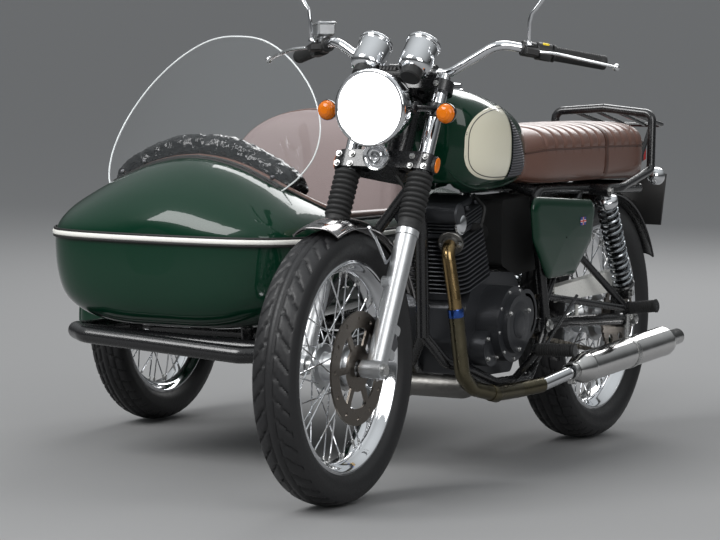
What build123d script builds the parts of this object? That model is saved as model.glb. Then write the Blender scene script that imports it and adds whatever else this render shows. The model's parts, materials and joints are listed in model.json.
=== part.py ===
"""A solo motorcycle with a sidecar on its right: tubular cradle frame, single-cylinder engine with twin
exhausts, wire wheels, and a one-seat sidecar body on its own tube chassis.

Frame while modelling, in mm: x to the machine's left, y to its rear, z up. x = 0 is the motorcycle's middle
plane, y = 0 the front axle and z = 0 the ground. The last block moves everything so that the origin lies on
the ground under the middle of the whole machine."""

import math
import os

from build123d import *

# Overall layout
GAP = 5.0  # between a turning piece and what stands beside it
WHEELBASE = 1400.0
SIDE_WHEEL_X = -1140.0
SIDE_WHEEL_Y = 1130.0
RAKE = 27.0  # steering head angle from the vertical, degrees
STEER_LIMIT = 32.0

# Wheels: name, radius over the tyre, tyre width, rim edge radius, rim width
FRONT_TYRE_R, FRONT_TYRE_W = 316.0, 106.0
REAR_TYRE_R, REAR_TYRE_W = 319.0, 126.0
SIDE_TYRE_R, SIDE_TYRE_W = 300.0, 98.0
RIM_R = 243.0
SIDE_RIM_R = 226.0
RIM_DEPTH = 28.0
SPOKE_R = 2.0
SPOKE_PAIRS = 9  # pairs of crossed spokes on each side of a wheel
SPOKE_CROSSING = 52.0  # degrees that a spoke runs round the hub

# Fork
FORK_X = 95.0
LEG_BEHIND_AXLE = 16.0
FORK_OFFSET = 45.0
SLIDER_R = 24.5
STANCHION_R = 18.5
YOKE_CLAMP_R = 29.0
STEM_R = 17.0
STEM_CLEARANCE = 0.4
SLIDER_TOP, GAITER_TOP, LOWER_YOKE_TOP, UPPER_YOKE_FOOT, STANCHION_TOP = 340.0, 481.0, 527.0, 688.0, 728.0
HEAD_TUBE_R = 30.0
HEAD_GAP = 2.5

# Headlamp, gauges and handlebar
LAMP_R = 88.0
LAMP_FACE_Y = 158.0
LAMP_Z = 898.0
LAMP_DEPTH = 140.0
GAUGE_X, GAUGE_R, GAUGE_LENGTH, GAUGE_TILT = 62.0, 41.0, 86.0, 43.0
BAR_R = 11.0
GRIP_R = 17.0
GRIP_LENGTH = 128.0

# Tank and saddle
TANK_HALF_W = 140.0
SADDLE_HALF_W = 132.0

# Sidecar body: its middle plane, half width, and the heights of floor, belt and cockpit rim
BODY_X = -680.0
BODY_HALF_W = 375.0
BODY_NOSE_Y = 345.0
BODY_TAIL_Y = 1905.0
BODY_FLOOR_Z = 330.0
BELT_Z = 558.0
BODY_WALL = 8.0
RIM_Z = 605.0
CROWN_Z = 750.0
CHASSIS_Z = 292.0
CHASSIS_R = 21.0

FORK_UP = Vector(0, math.sin(math.radians(RAKE)), math.cos(math.radians(RAKE)))
FORK_BACK = Vector(0, math.cos(math.radians(RAKE)), -math.sin(math.radians(RAKE)))
FRONT_AXLE = Vector(0, 0, FRONT_TYRE_R)
REAR_AXLE = Vector(0, WHEELBASE, REAR_TYRE_R)
SIDE_AXLE = Vector(SIDE_WHEEL_X, SIDE_WHEEL_Y, SIDE_TYRE_R)

PIECES = {}


def keep(name, shape):
    """Label a finished piece and put it on the list that is written at the end."""
    shape.label = name
    PIECES[name] = shape


def leg_point(along, x=0.0, back=0.0):
    """A point of the fork, measured up the leg from the axle's height and back from the leg's axis."""
    foot = FRONT_AXLE + Vector(x, LEG_BEHIND_AXLE, 0)
    return foot + FORK_UP * along + FORK_BACK * back


def fork_plane(along, x=0.0, back=0.0):
    """The plane square to the fork legs, x to the left and y to the rear."""
    return Plane(leg_point(along, x, back), x_dir=(1, 0, 0), z_dir=FORK_UP)


def axial_plane(centre, turn=0.0):
    """A plane through a wheel's axle: its x runs along the axle and its y points outwards, turned to the rear."""
    angle = math.radians(turn)
    return Plane(centre, x_dir=(1, 0, 0), z_dir=(0, -math.cos(angle), math.sin(angle)))


def bar(start, end, radius, mode=Mode.ADD):
    """A round bar between two points."""
    start, end = Vector(*start), Vector(*end)
    with BuildSketch(Plane(start, z_dir=end - start)) as section:
        Circle(radius)
    extrude(section.sketch, amount=(end - start).length, mode=mode)


def tube(points, bend, radius, mode=Mode.ADD):
    """A round tube along straight runs joined by arcs."""
    with BuildLine() as route:
        FilletPolyline(*points, radius=bend)
    with BuildSketch(Plane(route.line @ 0, z_dir=route.line % 0)) as section:
        Circle(radius)
    sweep(section.sketch, path=route.line, mode=mode)


def turned(centre, profile, arc=360.0, start=0.0, mode=Mode.ADD):
    """A ring turned about an axle from (along, radius) points; an arc runs from its start towards the rear."""
    with BuildSketch(axial_plane(centre, start)) as section:
        with BuildLine():
            Polyline(*profile, close=True)
        make_face()
    revolve(section.sketch, axis=Axis(centre, (-1, 0, 0)), revolution_arc=arc, mode=mode)


def lathed(foot, run, outline):
    """A piece turned about a sloping axis from (radius, along) points."""
    side = run.cross(Vector(0, 0, 1)).normalized()
    with BuildSketch(Plane(foot, x_dir=side, z_dir=side.cross(run))) as section:
        with BuildLine():
            Polyline(*outline, close=True)
        make_face()
    revolve(section.sketch, axis=Axis(foot, run))


def dome(radius, base, top, steps=6):
    """Points (radius, along) of a quarter oval that closes on the axis."""
    turns = [math.pi / 2 * step / steps for step in range(steps)]
    return [(radius * math.cos(t), base + (top - base) * math.sin(t)) for t in turns] + [(0, top)]


def mirrored(points):
    """The same points on the other side of the motorcycle."""
    return [(-x, y, z) for x, y, z in points]


# Wheels
def tyre(centre, radius, width, rim_r, rim_w):
    """A road tyre on its rim: bead, bulging sidewalls, shoulders and a rounded crown."""
    half = width / 2
    side_r = rim_r + 0.48 * (radius - rim_r)
    shoulder_r = radius - 0.22 * (radius - rim_r)
    with BuildPart() as made:
        turned(centre, [(-rim_w / 2, rim_r), (-half, side_r), (-0.84 * half, shoulder_r), (-0.42 * half, radius - 4),
                        (0, radius), (0.42 * half, radius - 4), (0.84 * half, shoulder_r), (half, side_r),
                        (rim_w / 2, rim_r)])
    return made.part


def wire_wheel(centre, rim_r, rim_w, hub_profile, flange_x, flange_r):
    """A rim, a hub and crossed spokes, all joined."""
    well_r = rim_r - RIM_DEPTH
    with BuildPart() as made:
        turned(centre, [(-rim_w / 2, rim_r), (-rim_w / 2 + 2, rim_r - 13), (-12, well_r), (12, well_r),
                        (rim_w / 2 - 2, rim_r - 13), (rim_w / 2, rim_r)])
        turned(centre, hub_profile)
        step = 360 / SPOKE_PAIRS
        for side, turn in ((-1, 0.0), (1, step / 2)):
            with BuildPart(mode=Mode.PRIVATE) as pair:
                for lean in (-1, 1):
                    at_rim = math.radians(turn + step * 0.22 * lean)
                    at_hub = at_rim + math.radians(lean * SPOKE_CROSSING)
                    hub_end = Vector(side * flange_x, flange_r * math.sin(at_hub), flange_r * math.cos(at_hub))
                    rim_end = Vector(side * 4 + lean, (well_r + 2) * math.sin(at_rim), (well_r + 2) * math.cos(at_rim))
                    with BuildSketch(Plane(hub_end, z_dir=rim_end - hub_end)) as section:
                        RegularPolygon(SPOKE_R, 4)
                    extrude(section.sketch, amount=(rim_end - hub_end).length)
            with Locations(*[Location(tuple(centre), (step * count, 0, 0)) for count in range(SPOKE_PAIRS)]):
                add(pair.part)
    return made.part


AXLE_R = 8.0
AXLE_BORE = 8.3
FRONT_HUB = [(-46, AXLE_BORE), (-46, 26), (-34, 30), (-34, 52), (-28, 52), (-26, 30), (26, 30), (28, 52), (34, 52),
             (34, 40), (52, 40), (52, AXLE_BORE)]
REAR_HUB = [(-66, AXLE_BORE), (-66, 84), (-30, 88), (-28, 46), (28, 46), (30, 62), (36, 62), (40, 44), (76, 44),
            (76, AXLE_BORE)]
SIDE_HUB = [(-40, AXLE_BORE), (-40, 24), (-32, 28), (-32, 48), (-26, 48), (-24, 30), (24, 30), (26, 76), (52, 72),
            (52, AXLE_BORE)]

keep("front_tyre", tyre(FRONT_AXLE, FRONT_TYRE_R, FRONT_TYRE_W, RIM_R, 72))
keep("rear_tyre", tyre(REAR_AXLE, REAR_TYRE_R, REAR_TYRE_W, RIM_R, 84))
keep("sidecar_tyre", tyre(SIDE_AXLE, SIDE_TYRE_R, SIDE_TYRE_W, SIDE_RIM_R, 66))
keep("front_wire_wheel", wire_wheel(FRONT_AXLE, RIM_R, 72, FRONT_HUB, 31, 46))
keep("rear_wire_wheel", wire_wheel(REAR_AXLE, RIM_R, 84, REAR_HUB, 30, 56))
keep("sidecar_wire_wheel", wire_wheel(SIDE_AXLE, SIDE_RIM_R, 66, SIDE_HUB, 27, 42))

# Front brake disc with its carrier and a ring of holes
DISC_R, DISC_INNER_R, DISC_X, DISC_T = 130.0, 92.0, 55.0, 5.0
with BuildPart() as disc:
    with BuildSketch(Plane(FRONT_AXLE + Vector(DISC_X, 0, 0), x_dir=(0, 1, 0), z_dir=(1, 0, 0))):
        Circle(DISC_R)
        Circle(DISC_INNER_R, mode=Mode.SUBTRACT)
        with PolarLocations(DISC_INNER_R - 21, 6):
            Rectangle(50, 16)
        Circle(53)
        Circle(20, mode=Mode.SUBTRACT)
        with PolarLocations((DISC_R + DISC_INNER_R) / 2 + 3, 12):
            Circle(5, mode=Mode.SUBTRACT)
    extrude(amount=DISC_T)
keep("front_brake_disc", disc.part)

# Rear sprocket, a toothed plate on the left of the rear hub
SPROCKET_X, SPROCKET_T, SPROCKET_R, TEETH = 84.0, 6.0, 88.0, 36
with BuildPart() as sprocket:
    with BuildSketch(Plane(REAR_AXLE + Vector(SPROCKET_X, 0, 0), x_dir=(0, 1, 0), z_dir=(1, 0, 0))):
        with BuildLine():
            Polyline(*[((SPROCKET_R - 5 * (tooth % 2)) * math.cos(math.pi * tooth / TEETH),
                        (SPROCKET_R - 5 * (tooth % 2)) * math.sin(math.pi * tooth / TEETH))
                       for tooth in range(2 * TEETH)], close=True)
        make_face()
        with PolarLocations(62, 6):
            Circle(13, mode=Mode.SUBTRACT)
        Circle(AXLE_BORE, mode=Mode.SUBTRACT)
    extrude(amount=SPROCKET_T)
    bar(REAR_AXLE + Vector(76, 0, 0), REAR_AXLE + Vector(SPROCKET_X, 0, 0), 40)
    bar(REAR_AXLE + Vector(75, 0, 0), REAR_AXLE + Vector(SPROCKET_X + 1, 0, 0), AXLE_BORE, Mode.SUBTRACT)
keep("rear_sprocket", sprocket.part)

# Fork: sliders with their axle, mudguard and brake lugs
MUDGUARD_LUG = 205.0
with BuildPart() as sliders:
    for side in (-1, 1):
        bar(leg_point(-18, side * FORK_X), leg_point(SLIDER_TOP, side * FORK_X), SLIDER_R)
        bar(leg_point(SLIDER_TOP - 14, side * FORK_X), leg_point(SLIDER_TOP, side * FORK_X), SLIDER_R + 2.5)
        bar(FRONT_AXLE + Vector(side * (FORK_X - 24), 0, 0), FRONT_AXLE + Vector(side * (FORK_X + 27), 0, 0), 21)
        lug = leg_point(MUDGUARD_LUG, side * (FORK_X - 16), -SLIDER_R + 6)
        bar(lug + Vector(side * -6, 0, 0), lug + Vector(side * 14, 0, 0), 13)
    with BuildSketch(Plane(leg_point(0, FORK_X - 8), x_dir=FORK_BACK, z_dir=(1, 0, 0))):
        with Locations((38, 52), (38, 112)):
            RectangleRounded(44, 22, 8)
    extrude(amount=16)
    bar(FRONT_AXLE + Vector(-FORK_X - 30, 0, 0), FRONT_AXLE + Vector(FORK_X + 30, 0, 0), AXLE_R, Mode.SUBTRACT)
keep("fork_sliders", sliders.part)

with BuildPart() as front_axle:
    bar(FRONT_AXLE + Vector(-FORK_X - 33, 0, 0), FRONT_AXLE + Vector(FORK_X + 33, 0, 0), AXLE_R)
    for side in (-1, 1):
        hub_end = 46 if side < 0 else DISC_X + DISC_T
        bar(FRONT_AXLE + Vector(side * (hub_end + GAP), 0, 0), FRONT_AXLE + Vector(side * (FORK_X - 25), 0, 0), 14)
        bar(FRONT_AXLE + Vector(side * (FORK_X + 27), 0, 0), FRONT_AXLE + Vector(side * (FORK_X + 36), 0, 0), 13)
keep("front_axle", front_axle.part)

with BuildPart() as stanchions:
    for side in (-1, 1):
        bar(leg_point(SLIDER_TOP, side * FORK_X), leg_point(STANCHION_TOP, side * FORK_X), STANCHION_R)
        bar(leg_point(STANCHION_TOP, side * FORK_X), leg_point(STANCHION_TOP + 8, side * FORK_X), STANCHION_R - 4)
keep("fork_stanchions", stanchions.part)

# Rubber gaiters: a collar, then folds
GAITER_FOLDS = 9
COLLAR = 24.0
with BuildPart() as gaiters:
    fold = (GAITER_TOP - SLIDER_TOP - COLLAR) / GAITER_FOLDS
    outline = [(STANCHION_R, SLIDER_TOP), (27, SLIDER_TOP), (27, SLIDER_TOP + COLLAR)]
    for count in range(GAITER_FOLDS):
        foot = SLIDER_TOP + COLLAR + count * fold
        outline += [(24, foot), (30, foot + fold / 2)]
    outline += [(24, GAITER_TOP), (STANCHION_R, GAITER_TOP)]
    for side in (-1, 1):
        foot = leg_point(0, side * FORK_X)
        with BuildSketch(Plane(foot, x_dir=(1, 0, 0), z_dir=-FORK_BACK)):
            with BuildLine():
                Polyline(*outline, close=True)
            make_face()
        revolve(axis=Axis(foot, FORK_UP))
keep("fork_gaiters", gaiters.part)


def yoke(foot, top):
    """A fork yoke: two clamps round the stanchions and a boss for the steering stem."""
    with BuildPart() as made:
        with BuildSketch(fork_plane(foot)):
            with Locations((-FORK_X, 0), (FORK_X, 0)):
                Circle(YOKE_CLAMP_R)
            with Locations((0, FORK_OFFSET - 4)):
                Circle(YOKE_CLAMP_R)
            make_hull()
            with Locations((-FORK_X, 0), (FORK_X, 0)):
                Circle(STANCHION_R, mode=Mode.SUBTRACT)
            with Locations((-48, FORK_OFFSET - 50), (48, FORK_OFFSET - 50)):
                Circle(10, mode=Mode.SUBTRACT)
        extrude(amount=top - foot)
    return made


lower_yoke = yoke(GAITER_TOP + 4, LOWER_YOKE_TOP)
with lower_yoke:
    bar(leg_point(LOWER_YOKE_TOP - 5, 0, FORK_OFFSET), leg_point(UPPER_YOKE_FOOT, 0, FORK_OFFSET), STEM_R)
keep("lower_yoke", lower_yoke.part)

UPPER_YOKE_TOP = UPPER_YOKE_FOOT + 28
upper_yoke = yoke(UPPER_YOKE_FOOT, UPPER_YOKE_TOP)
with upper_yoke:
    bar(leg_point(UPPER_YOKE_TOP, 0, FORK_OFFSET), leg_point(UPPER_YOKE_TOP + 12, 0, FORK_OFFSET), 18)
# Handlebar, swept back, on two risers
BAR_CENTRE = Vector(0, 378, 974)
BAR_LEFT = [(92, 378, 974), (212, 392, 1046), (405, 565, 1003)]
BAR_BENDS = [60, 55, 55, 60]
with BuildPart() as handlebar:
    tube([*reversed(mirrored(BAR_LEFT)), *BAR_LEFT], BAR_BENDS, BAR_R)
keep("handlebar", handlebar.part)

with upper_yoke:
    for side in (-1, 1):
        seat = leg_point(UPPER_YOKE_TOP - 2, side * 45, FORK_OFFSET - 18)
        crown = Vector(side * 45, BAR_CENTRE.Y, BAR_CENTRE.Z)
        bar(seat, crown, 15)
        bar(crown + Vector(-15, 0, 0), crown + Vector(15, 0, 0), 20)
    bar(BAR_CENTRE + Vector(-90, 0, 0), BAR_CENTRE + Vector(90, 0, 0), BAR_R, Mode.SUBTRACT)
keep("upper_yoke", upper_yoke.part)

# Grips, levers with their perches, and the master cylinder
BAR_BEND, BAR_END = Vector(*BAR_LEFT[1]), Vector(*BAR_LEFT[2])
GRIP_DIR = (BAR_END - BAR_BEND).normalized()


def on_bar(side, from_end, forward=0.0, up=0.0):
    """A point beside the handlebar's outer run, measured inwards from its end."""
    point = BAR_END - GRIP_DIR * from_end + Vector(GRIP_DIR.Y, -GRIP_DIR.X, 0).normalized() * forward
    return Vector(side * point.X, point.Y, point.Z + up)


with BuildPart() as grips:
    for side in (-1, 1):
        bar(on_bar(side, GRIP_LENGTH), on_bar(side, -5), GRIP_R)
        bar(on_bar(side, GRIP_LENGTH + 5), on_bar(side, 0), BAR_R, Mode.SUBTRACT)
keep("grips", grips.part)

with BuildPart() as controls:
    for side in (-1, 1):
        bar(on_bar(side, GRIP_LENGTH + 42), on_bar(side, GRIP_LENGTH + 6), 21)
        bar(on_bar(side, GRIP_LENGTH + 78), on_bar(side, GRIP_LENGTH + 40), 18)
        bar(on_bar(side, GRIP_LENGTH + 64), on_bar(side, GRIP_LENGTH + 40, 40, -6), 10)
        root, knee, tip = (on_bar(side, GRIP_LENGTH + 40, 40, -6), on_bar(side, GRIP_LENGTH - 30, 56, -10),
                           on_bar(side, -2, 48, -20))
        tube([root, knee, tip], 90, 6)
        with Locations(tip):
            Sphere(9)
    with BuildSketch(Plane(on_bar(-1, GRIP_LENGTH + 60, 6, 20), x_dir=(GRIP_DIR.X, -GRIP_DIR.Y, 0))):
        RectangleRounded(52, 44, 8)
    extrude(amount=30)
    bar(on_bar(-1, GRIP_LENGTH + 60, 6, 10), on_bar(-1, GRIP_LENGTH + 60, 6, 22), 12)
    for side in (-1, 1):
        bar(on_bar(side, GRIP_LENGTH + 100), on_bar(side, GRIP_LENGTH, 0), BAR_R, Mode.SUBTRACT)
keep("bar_controls", controls.part)

# Mirrors on stems that rise from the lever perches
MIRROR_R = 52.0
with BuildPart() as mirrors:
    for side in (-1, 1):
        foot = on_bar(side, GRIP_LENGTH + 62, 14 if side > 0 else 36, 14)
        elbow = foot + Vector(side * 3, -6, 62)
        head = foot + Vector(side * 88, 14, 178)
        tube([foot, elbow, head], 20, 5)
        bar(head + Vector(0, -12, 0), head + Vector(0, 6, 0), MIRROR_R)
        bar(head + Vector(0, -24, 0), head + Vector(0, -12, 0), MIRROR_R * 0.72)
keep("mirrors", mirrors.part)

# Headlamp: a bowl with its rim, and the lens in front
LAMP_CENTRE = Vector(0, LAMP_FACE_Y, LAMP_Z)
REARWARD = Vector(0, 1, 0)
LAMP_WALL = 4.0
LENS_R = LAMP_R - 8
with BuildPart() as lamp_shell:
    inner = [(r, along) for r, along in reversed(dome(LAMP_R - 6 - LAMP_WALL, 24, LAMP_DEPTH - LAMP_WALL))]
    lathed(LAMP_CENTRE, REARWARD, [(LENS_R, 0), (LAMP_R - 2, 0), (LAMP_R, 8), (LAMP_R - 1, 20),
                                   *dome(LAMP_R - 6, 24, LAMP_DEPTH), *inner, (LENS_R, 12)])
keep("headlamp_shell", lamp_shell.part)

with BuildPart() as lamp_lens:
    lathed(LAMP_CENTRE, REARWARD, [(0, 6), (LENS_R, 6), *dome(LENS_R, 1, -8)])
keep("headlamp_lens", lamp_lens.part)

# Headlamp brackets clamped to the stanchions, with a stalk out to each indicator
INDICATOR_X = 154.0
INDICATOR_R = 24.0
BRACKET = 640.0
with BuildPart() as lamp_brackets:
    for side in (-1, 1):
        with BuildSketch(fork_plane(BRACKET - 16, side * FORK_X)):
            Circle(STANCHION_R + 6)
            Circle(STANCHION_R, mode=Mode.SUBTRACT)
        extrude(amount=32)
        ear = Vector(side * (LAMP_R + 3), LAMP_FACE_Y + 46, LAMP_Z)
        with BuildSketch(Plane(ear, x_dir=(0, 1, 0), z_dir=(side, 0, 0))):
            Circle(16)
        extrude(amount=6)
        clamp = leg_point(BRACKET, side * (FORK_X + 6), -STANCHION_R - 3)
        bar(ear + Vector(side * 3, 0, 0), clamp, 8)
        stalk = leg_point(BRACKET, side * (FORK_X + STANCHION_R + 3), -2)
        bar(stalk, (side * (INDICATOR_X - 18), stalk.Y - 58, stalk.Z), 7)
keep("headlamp_brackets", lamp_brackets.part)


STALK_END = leg_point(BRACKET, 0, -2)
INDICATOR_Y, INDICATOR_Z = STALK_END.Y - 58, STALK_END.Z
REAR_INDICATOR = Vector(128, 1568, 684)


def indicators(x, y, z, facing):
    """A pair of indicators: a round cup and a domed lens; facing is -1 to the front and 1 to the rear."""
    with BuildPart(mode=Mode.PRIVATE) as made:
        for side in (-1, 1):
            centre = Vector(side * x, y, z)
            back, front = -facing * INDICATOR_R * 1.2, facing * INDICATOR_R * 0.75
            lathed(centre, REARWARD, [(0, back), *reversed(dome(INDICATOR_R, 0, back)[:-1]),
                                      *dome(INDICATOR_R, 0, front)[1:]])
    return made.part


keep("front_indicators", indicators(INDICATOR_X, INDICATOR_Y - 6, INDICATOR_Z, -1))

# Gauges: two cups tilted to the rider, with dials, on a bracket over the upper yoke
TILT = math.radians(GAUGE_TILT)
GAUGE_UP = Vector(0, math.sin(TILT), math.cos(TILT))
GAUGE_FOOT = Vector(0, 250, 982)
with BuildPart() as gauges:
    for side in (-1, 1):
        foot = GAUGE_FOOT + Vector(side * GAUGE_X, 0, 0)
        with BuildSketch(Plane(foot, x_dir=(1, 0, 0), z_dir=(0, -math.cos(TILT), math.sin(TILT)))):
            with BuildLine():
                Polyline((0, 0), (GAUGE_R - 12, 0), (GAUGE_R - 2, 8), (GAUGE_R - 2, GAUGE_LENGTH - 10),
                         (GAUGE_R, GAUGE_LENGTH - 8), (GAUGE_R, GAUGE_LENGTH), (GAUGE_R - 4, GAUGE_LENGTH),
                         (GAUGE_R - 4, GAUGE_LENGTH - 8), (0, GAUGE_LENGTH - 8), close=True)
            make_face()
        revolve(axis=Axis(foot, GAUGE_UP))
    for side in (-1, 1):
        foot = GAUGE_FOOT + Vector(side * GAUGE_X, 0, 0)
        bar(foot + GAUGE_UP * (GAUGE_LENGTH - 8), foot + GAUGE_UP * (GAUGE_LENGTH - 2), GAUGE_R - 4)
        bar(foot - GAUGE_UP * 22, foot, GAUGE_R - 14)
    left, right = (GAUGE_FOOT - GAUGE_UP * 3 + Vector(side * (GAUGE_X - 20), 0, 0) for side in (1, -1))
    bar(left, right, 9)
    bar(GAUGE_FOOT - GAUGE_UP * 3, leg_point(UPPER_YOKE_TOP, 0, -14), 9)
keep("gauges", gauges.part)

# Horn under the headlamp, on the lower yoke
HORN = Vector(0, 190, 786)
with BuildPart() as horn:
    bar(HORN, HORN + Vector(0, 16, 0), 33)
    bar(HORN + Vector(0, 16, 0), HORN + Vector(0, 34, 2), 20)
    bar(HORN + Vector(0, -5, 0), HORN, 22)
    bar(HORN + Vector(0, 30, 0), leg_point(510, 0, -YOKE_CLAMP_R + 12), 5)
keep("horn", horn.part)

# Side reflectors on the lower yoke
with BuildPart() as reflectors:
    for side in (-1, 1):
        centre = leg_point(506, side * (FORK_X + YOKE_CLAMP_R - 2))
        with BuildSketch(Plane(centre, x_dir=FORK_BACK * side, z_dir=(side, 0, 0))):
            Ellipse(14, 22)
        extrude(amount=12)
        bar(leg_point(480, side * FORK_X), leg_point(530, side * FORK_X), YOKE_CLAMP_R, Mode.SUBTRACT)
keep("side_reflectors", reflectors.part)


def guard_profile(inner_r, half_w, wall, drop):
    """Section of a mudguard as (along the axle, radius): an arched sheet with turned-down edges."""
    outer = [(-half_w, inner_r - drop), (-half_w * 0.8, inner_r - drop * 0.25), (-half_w * 0.4, inner_r),
             (half_w * 0.4, inner_r), (half_w * 0.8, inner_r - drop * 0.25), (half_w, inner_r - drop)]
    return [*outer, *[(x, r + wall) for x, r in reversed(outer)]]


# Front mudguard: a short arched blade with stays to the sliders
FRONT_GUARD_R, FRONT_GUARD_HALF_W = 336.0, 56.0
with BuildPart() as front_guard:
    turned(FRONT_AXLE, guard_profile(FRONT_GUARD_R, FRONT_GUARD_HALF_W, 3, 20), arc=82, start=-18)
    for side in (-1, 1):
        lug = leg_point(MUDGUARD_LUG, side * (FORK_X - 26), -SLIDER_R + 6)
        for turn in (8, 34):
            angle = math.radians(turn)
            edge = FRONT_AXLE + Vector(side * (FRONT_GUARD_HALF_W + 2), 318 * math.sin(angle), 318 * math.cos(angle))
            bar(lug, edge, 4)
keep("front_mudguard", front_guard.part)

# Brake caliper over the disc's rear edge
CALIPER_AT = math.radians(60)
with BuildPart() as caliper:
    centre = FRONT_AXLE + Vector(0, 112 * math.sin(CALIPER_AT), 112 * math.cos(CALIPER_AT))
    with BuildSketch(Plane(centre + Vector(DISC_X - 17, 0, 0), x_dir=(0, math.sin(CALIPER_AT), math.cos(CALIPER_AT)),
                           z_dir=(1, 0, 0))):
        with Locations((12, 0)):
            RectangleRounded(56, 84, 14)
    extrude(amount=46)
    turned(FRONT_AXLE, [(DISC_X - 5, 60), (DISC_X + DISC_T + 5, 60), (DISC_X + DISC_T + 5, DISC_R + 6),
                        (DISC_X - 5, DISC_R + 6)], mode=Mode.SUBTRACT)
    for along in (52, 112):
        lug = leg_point(along, FORK_X, 38)
        bar(lug + Vector(-9, 0, 0), lug + Vector(-16, 0, 0), 9)
keep("brake_caliper", caliper.part)

# Front brake hose, held by the lower yoke and the slider all the way
with BuildPart() as hose:
    tube([(34, 228, 742), (62, 236, 700), (63, 226, 640), (63, 196, 560), (63, 168, 470), (66, 140, 400)], 30, 4)
keep("brake_hose", hose.part)

# Frame: steering head, spine, cradle, seat rails and stays
HEAD_FOOT, HEAD_TOP = LOWER_YOKE_TOP + HEAD_GAP, UPPER_YOKE_FOOT - HEAD_GAP
HEAD_LOW, HEAD_HIGH = leg_point(HEAD_FOOT + 52, 0, FORK_OFFSET), leg_point(HEAD_TOP - 34, 0, FORK_OFFSET)
PIVOT = Vector(0, 880, 344)
SHOCK_TOP, SHOCK_FOOT = Vector(138, 1198, 662), Vector(138, 1345, 392)
UPRIGHT_X, CRADLE_X, RAIL_X = 112.0, 92.0, 92.0
DOWN_Y = 432.0
with BuildPart() as frame:
    bar(HEAD_HIGH, (0, 860, 706), 22)
    tube([HEAD_LOW, (0, 404, 700), (0, DOWN_Y, 600), (0, 446, 345)], 40, 16)
    for side in (-1, 1):
        tube([(0, 446, 352), (side * 44, 480, 284), (side * 72, 552, 262), (side * CRADLE_X, 660, 220),
              (side * CRADLE_X, 850, 214), (side * UPRIGHT_X, 905, 344), (side * 96, 858, 676),
              (side * RAIL_X, 1010, 674), (side * RAIL_X, 1530, 654)], 30, 13)
        bar((side * UPRIGHT_X, 900, 400), (side * RAIL_X, 1150, 668), 10)
        bar((side * RAIL_X, 1198, 665), (side * 128, 1198, 666), 13)
        bar((side * 76, PIVOT.Y, PIVOT.Z), (side * UPRIGHT_X, PIVOT.Y, PIVOT.Z), 18)
        bar((0, 850, 706), (side * 96, 862, 674), 14)
    for y, z in ((700, 219), (1230, 666), (1520, 654)):
        bar((-92, y, z), (92, y, z), 10)
    bar(leg_point(HEAD_FOOT, 0, FORK_OFFSET), leg_point(HEAD_TOP, 0, FORK_OFFSET), HEAD_TUBE_R)
    bar(leg_point(HEAD_FOOT - 5, 0, FORK_OFFSET), leg_point(HEAD_TOP + 5, 0, FORK_OFFSET),
        STEM_R + STEM_CLEARANCE, Mode.SUBTRACT)
keep("main_frame", frame.part)

# Chain line
CHAIN_X = SPROCKET_X + SPROCKET_T / 2
CHAIN_HALF_W = 7.5
CHAIN_DEPTH = 11.0
FRONT_SPROCKET = Vector(CHAIN_X, 792, 372)
FRONT_SPROCKET_R = 38.0

# Engine
ENGINE_X = 150.0
CYLINDER_FOOT, CYLINDER_TOP = Vector(0, 590, 440), Vector(0, 535, 655)
CYLINDER_DIR = (CYLINDER_TOP - CYLINDER_FOOT).normalized()
CASE_HALF_W = 76.0
with BuildPart() as crankcase:
    with BuildSketch(Plane.YZ.offset(-CASE_HALF_W)):
        with BuildLine():
            Polyline((520, 330), (585, 242), (780, 236), (826, 300), (826, 440), (790, 480), (660, 490), (560, 470),
                     (520, 410), close=True)
        make_face()
        fillet(vertices(), 20)
    extrude(amount=2 * CASE_HALF_W)
keep("crankcase", crankcase.part)

ENGINE_COVERS = [  # y, z, radius, how far out the face lies
    (664, 366, 92, 138), (664, 366, 70, 152), (772, 378, 64, 120), (586, 313, 44, 116)]
with BuildPart() as covers:
    for side in (-1, 1):
        for y, z, radius, reach in ENGINE_COVERS:
            bar((side * CASE_HALF_W, y, z), (side * reach, y, z), radius)
    with Locations((CHAIN_X, 800, 372)):
        Box(2 * CHAIN_HALF_W + 6, 160, 112, mode=Mode.SUBTRACT)
keep("engine_covers", covers.part)

with BuildPart() as cylinder:
    across = Plane(CYLINDER_FOOT, x_dir=(1, 0, 0), z_dir=CYLINDER_DIR)
    with BuildSketch(across):
        RectangleRounded(110, 120, 26)
    extrude(amount=222)
    for count in range(9):
        with BuildSketch(across.offset(30 + 15 * count)):
            RectangleRounded(168 - 1.5 * count, 172 - count, 34)
        extrude(amount=5)
    with BuildSketch(across.offset(168)):
        RectangleRounded(150, 166, 20)
    extrude(amount=44)
    with BuildSketch(across.offset(212)):
        RectangleRounded(124, 130, 22)
    extrude(amount=20)
    bar((-84, 470, 640), (84, 470, 640), 26)
keep("cylinder_and_head", cylinder.part)

# Intake: carburettor behind the head and the airbox between the side covers
with BuildPart() as intake:
    bar((0, 610, 590), (0, 740, 575), 30)
    with BuildSketch(Plane.YZ.offset(-66)):
        with BuildLine():
            Polyline((740, 500), (740, 660), (1040, 660), (1080, 600), (1010, 480), (820, 470), close=True)
        make_face()
        fillet(vertices(), 14)
    extrude(amount=132)
keep("airbox", intake.part)

# Exhaust: two headers, the chamber that joins them, and a silencer on each side
SILENCER_NOSE, SILENCER_TAIL = Vector(166, 960, 226), Vector(174, 1622, 256)
SILENCER_R, BARREL_END, TAIL_TUBE_R = 39.0, 560.0, 21.0
HEADER = [(58, 474, 572), (68, 434, 554), (86, 438, 440), (98, 462, 260), (100, 505, 224), (118, 600, 202),
          (126, 720, 200), (148, 810, 205), tuple(SILENCER_NOSE)]
with BuildPart() as headers:
    for points in (HEADER, mirrored(HEADER)):
        tube(points, 26, 19)
    bar((-100, 505, 224), (100, 505, 224), 27)
keep("exhaust_headers", headers.part)

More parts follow.
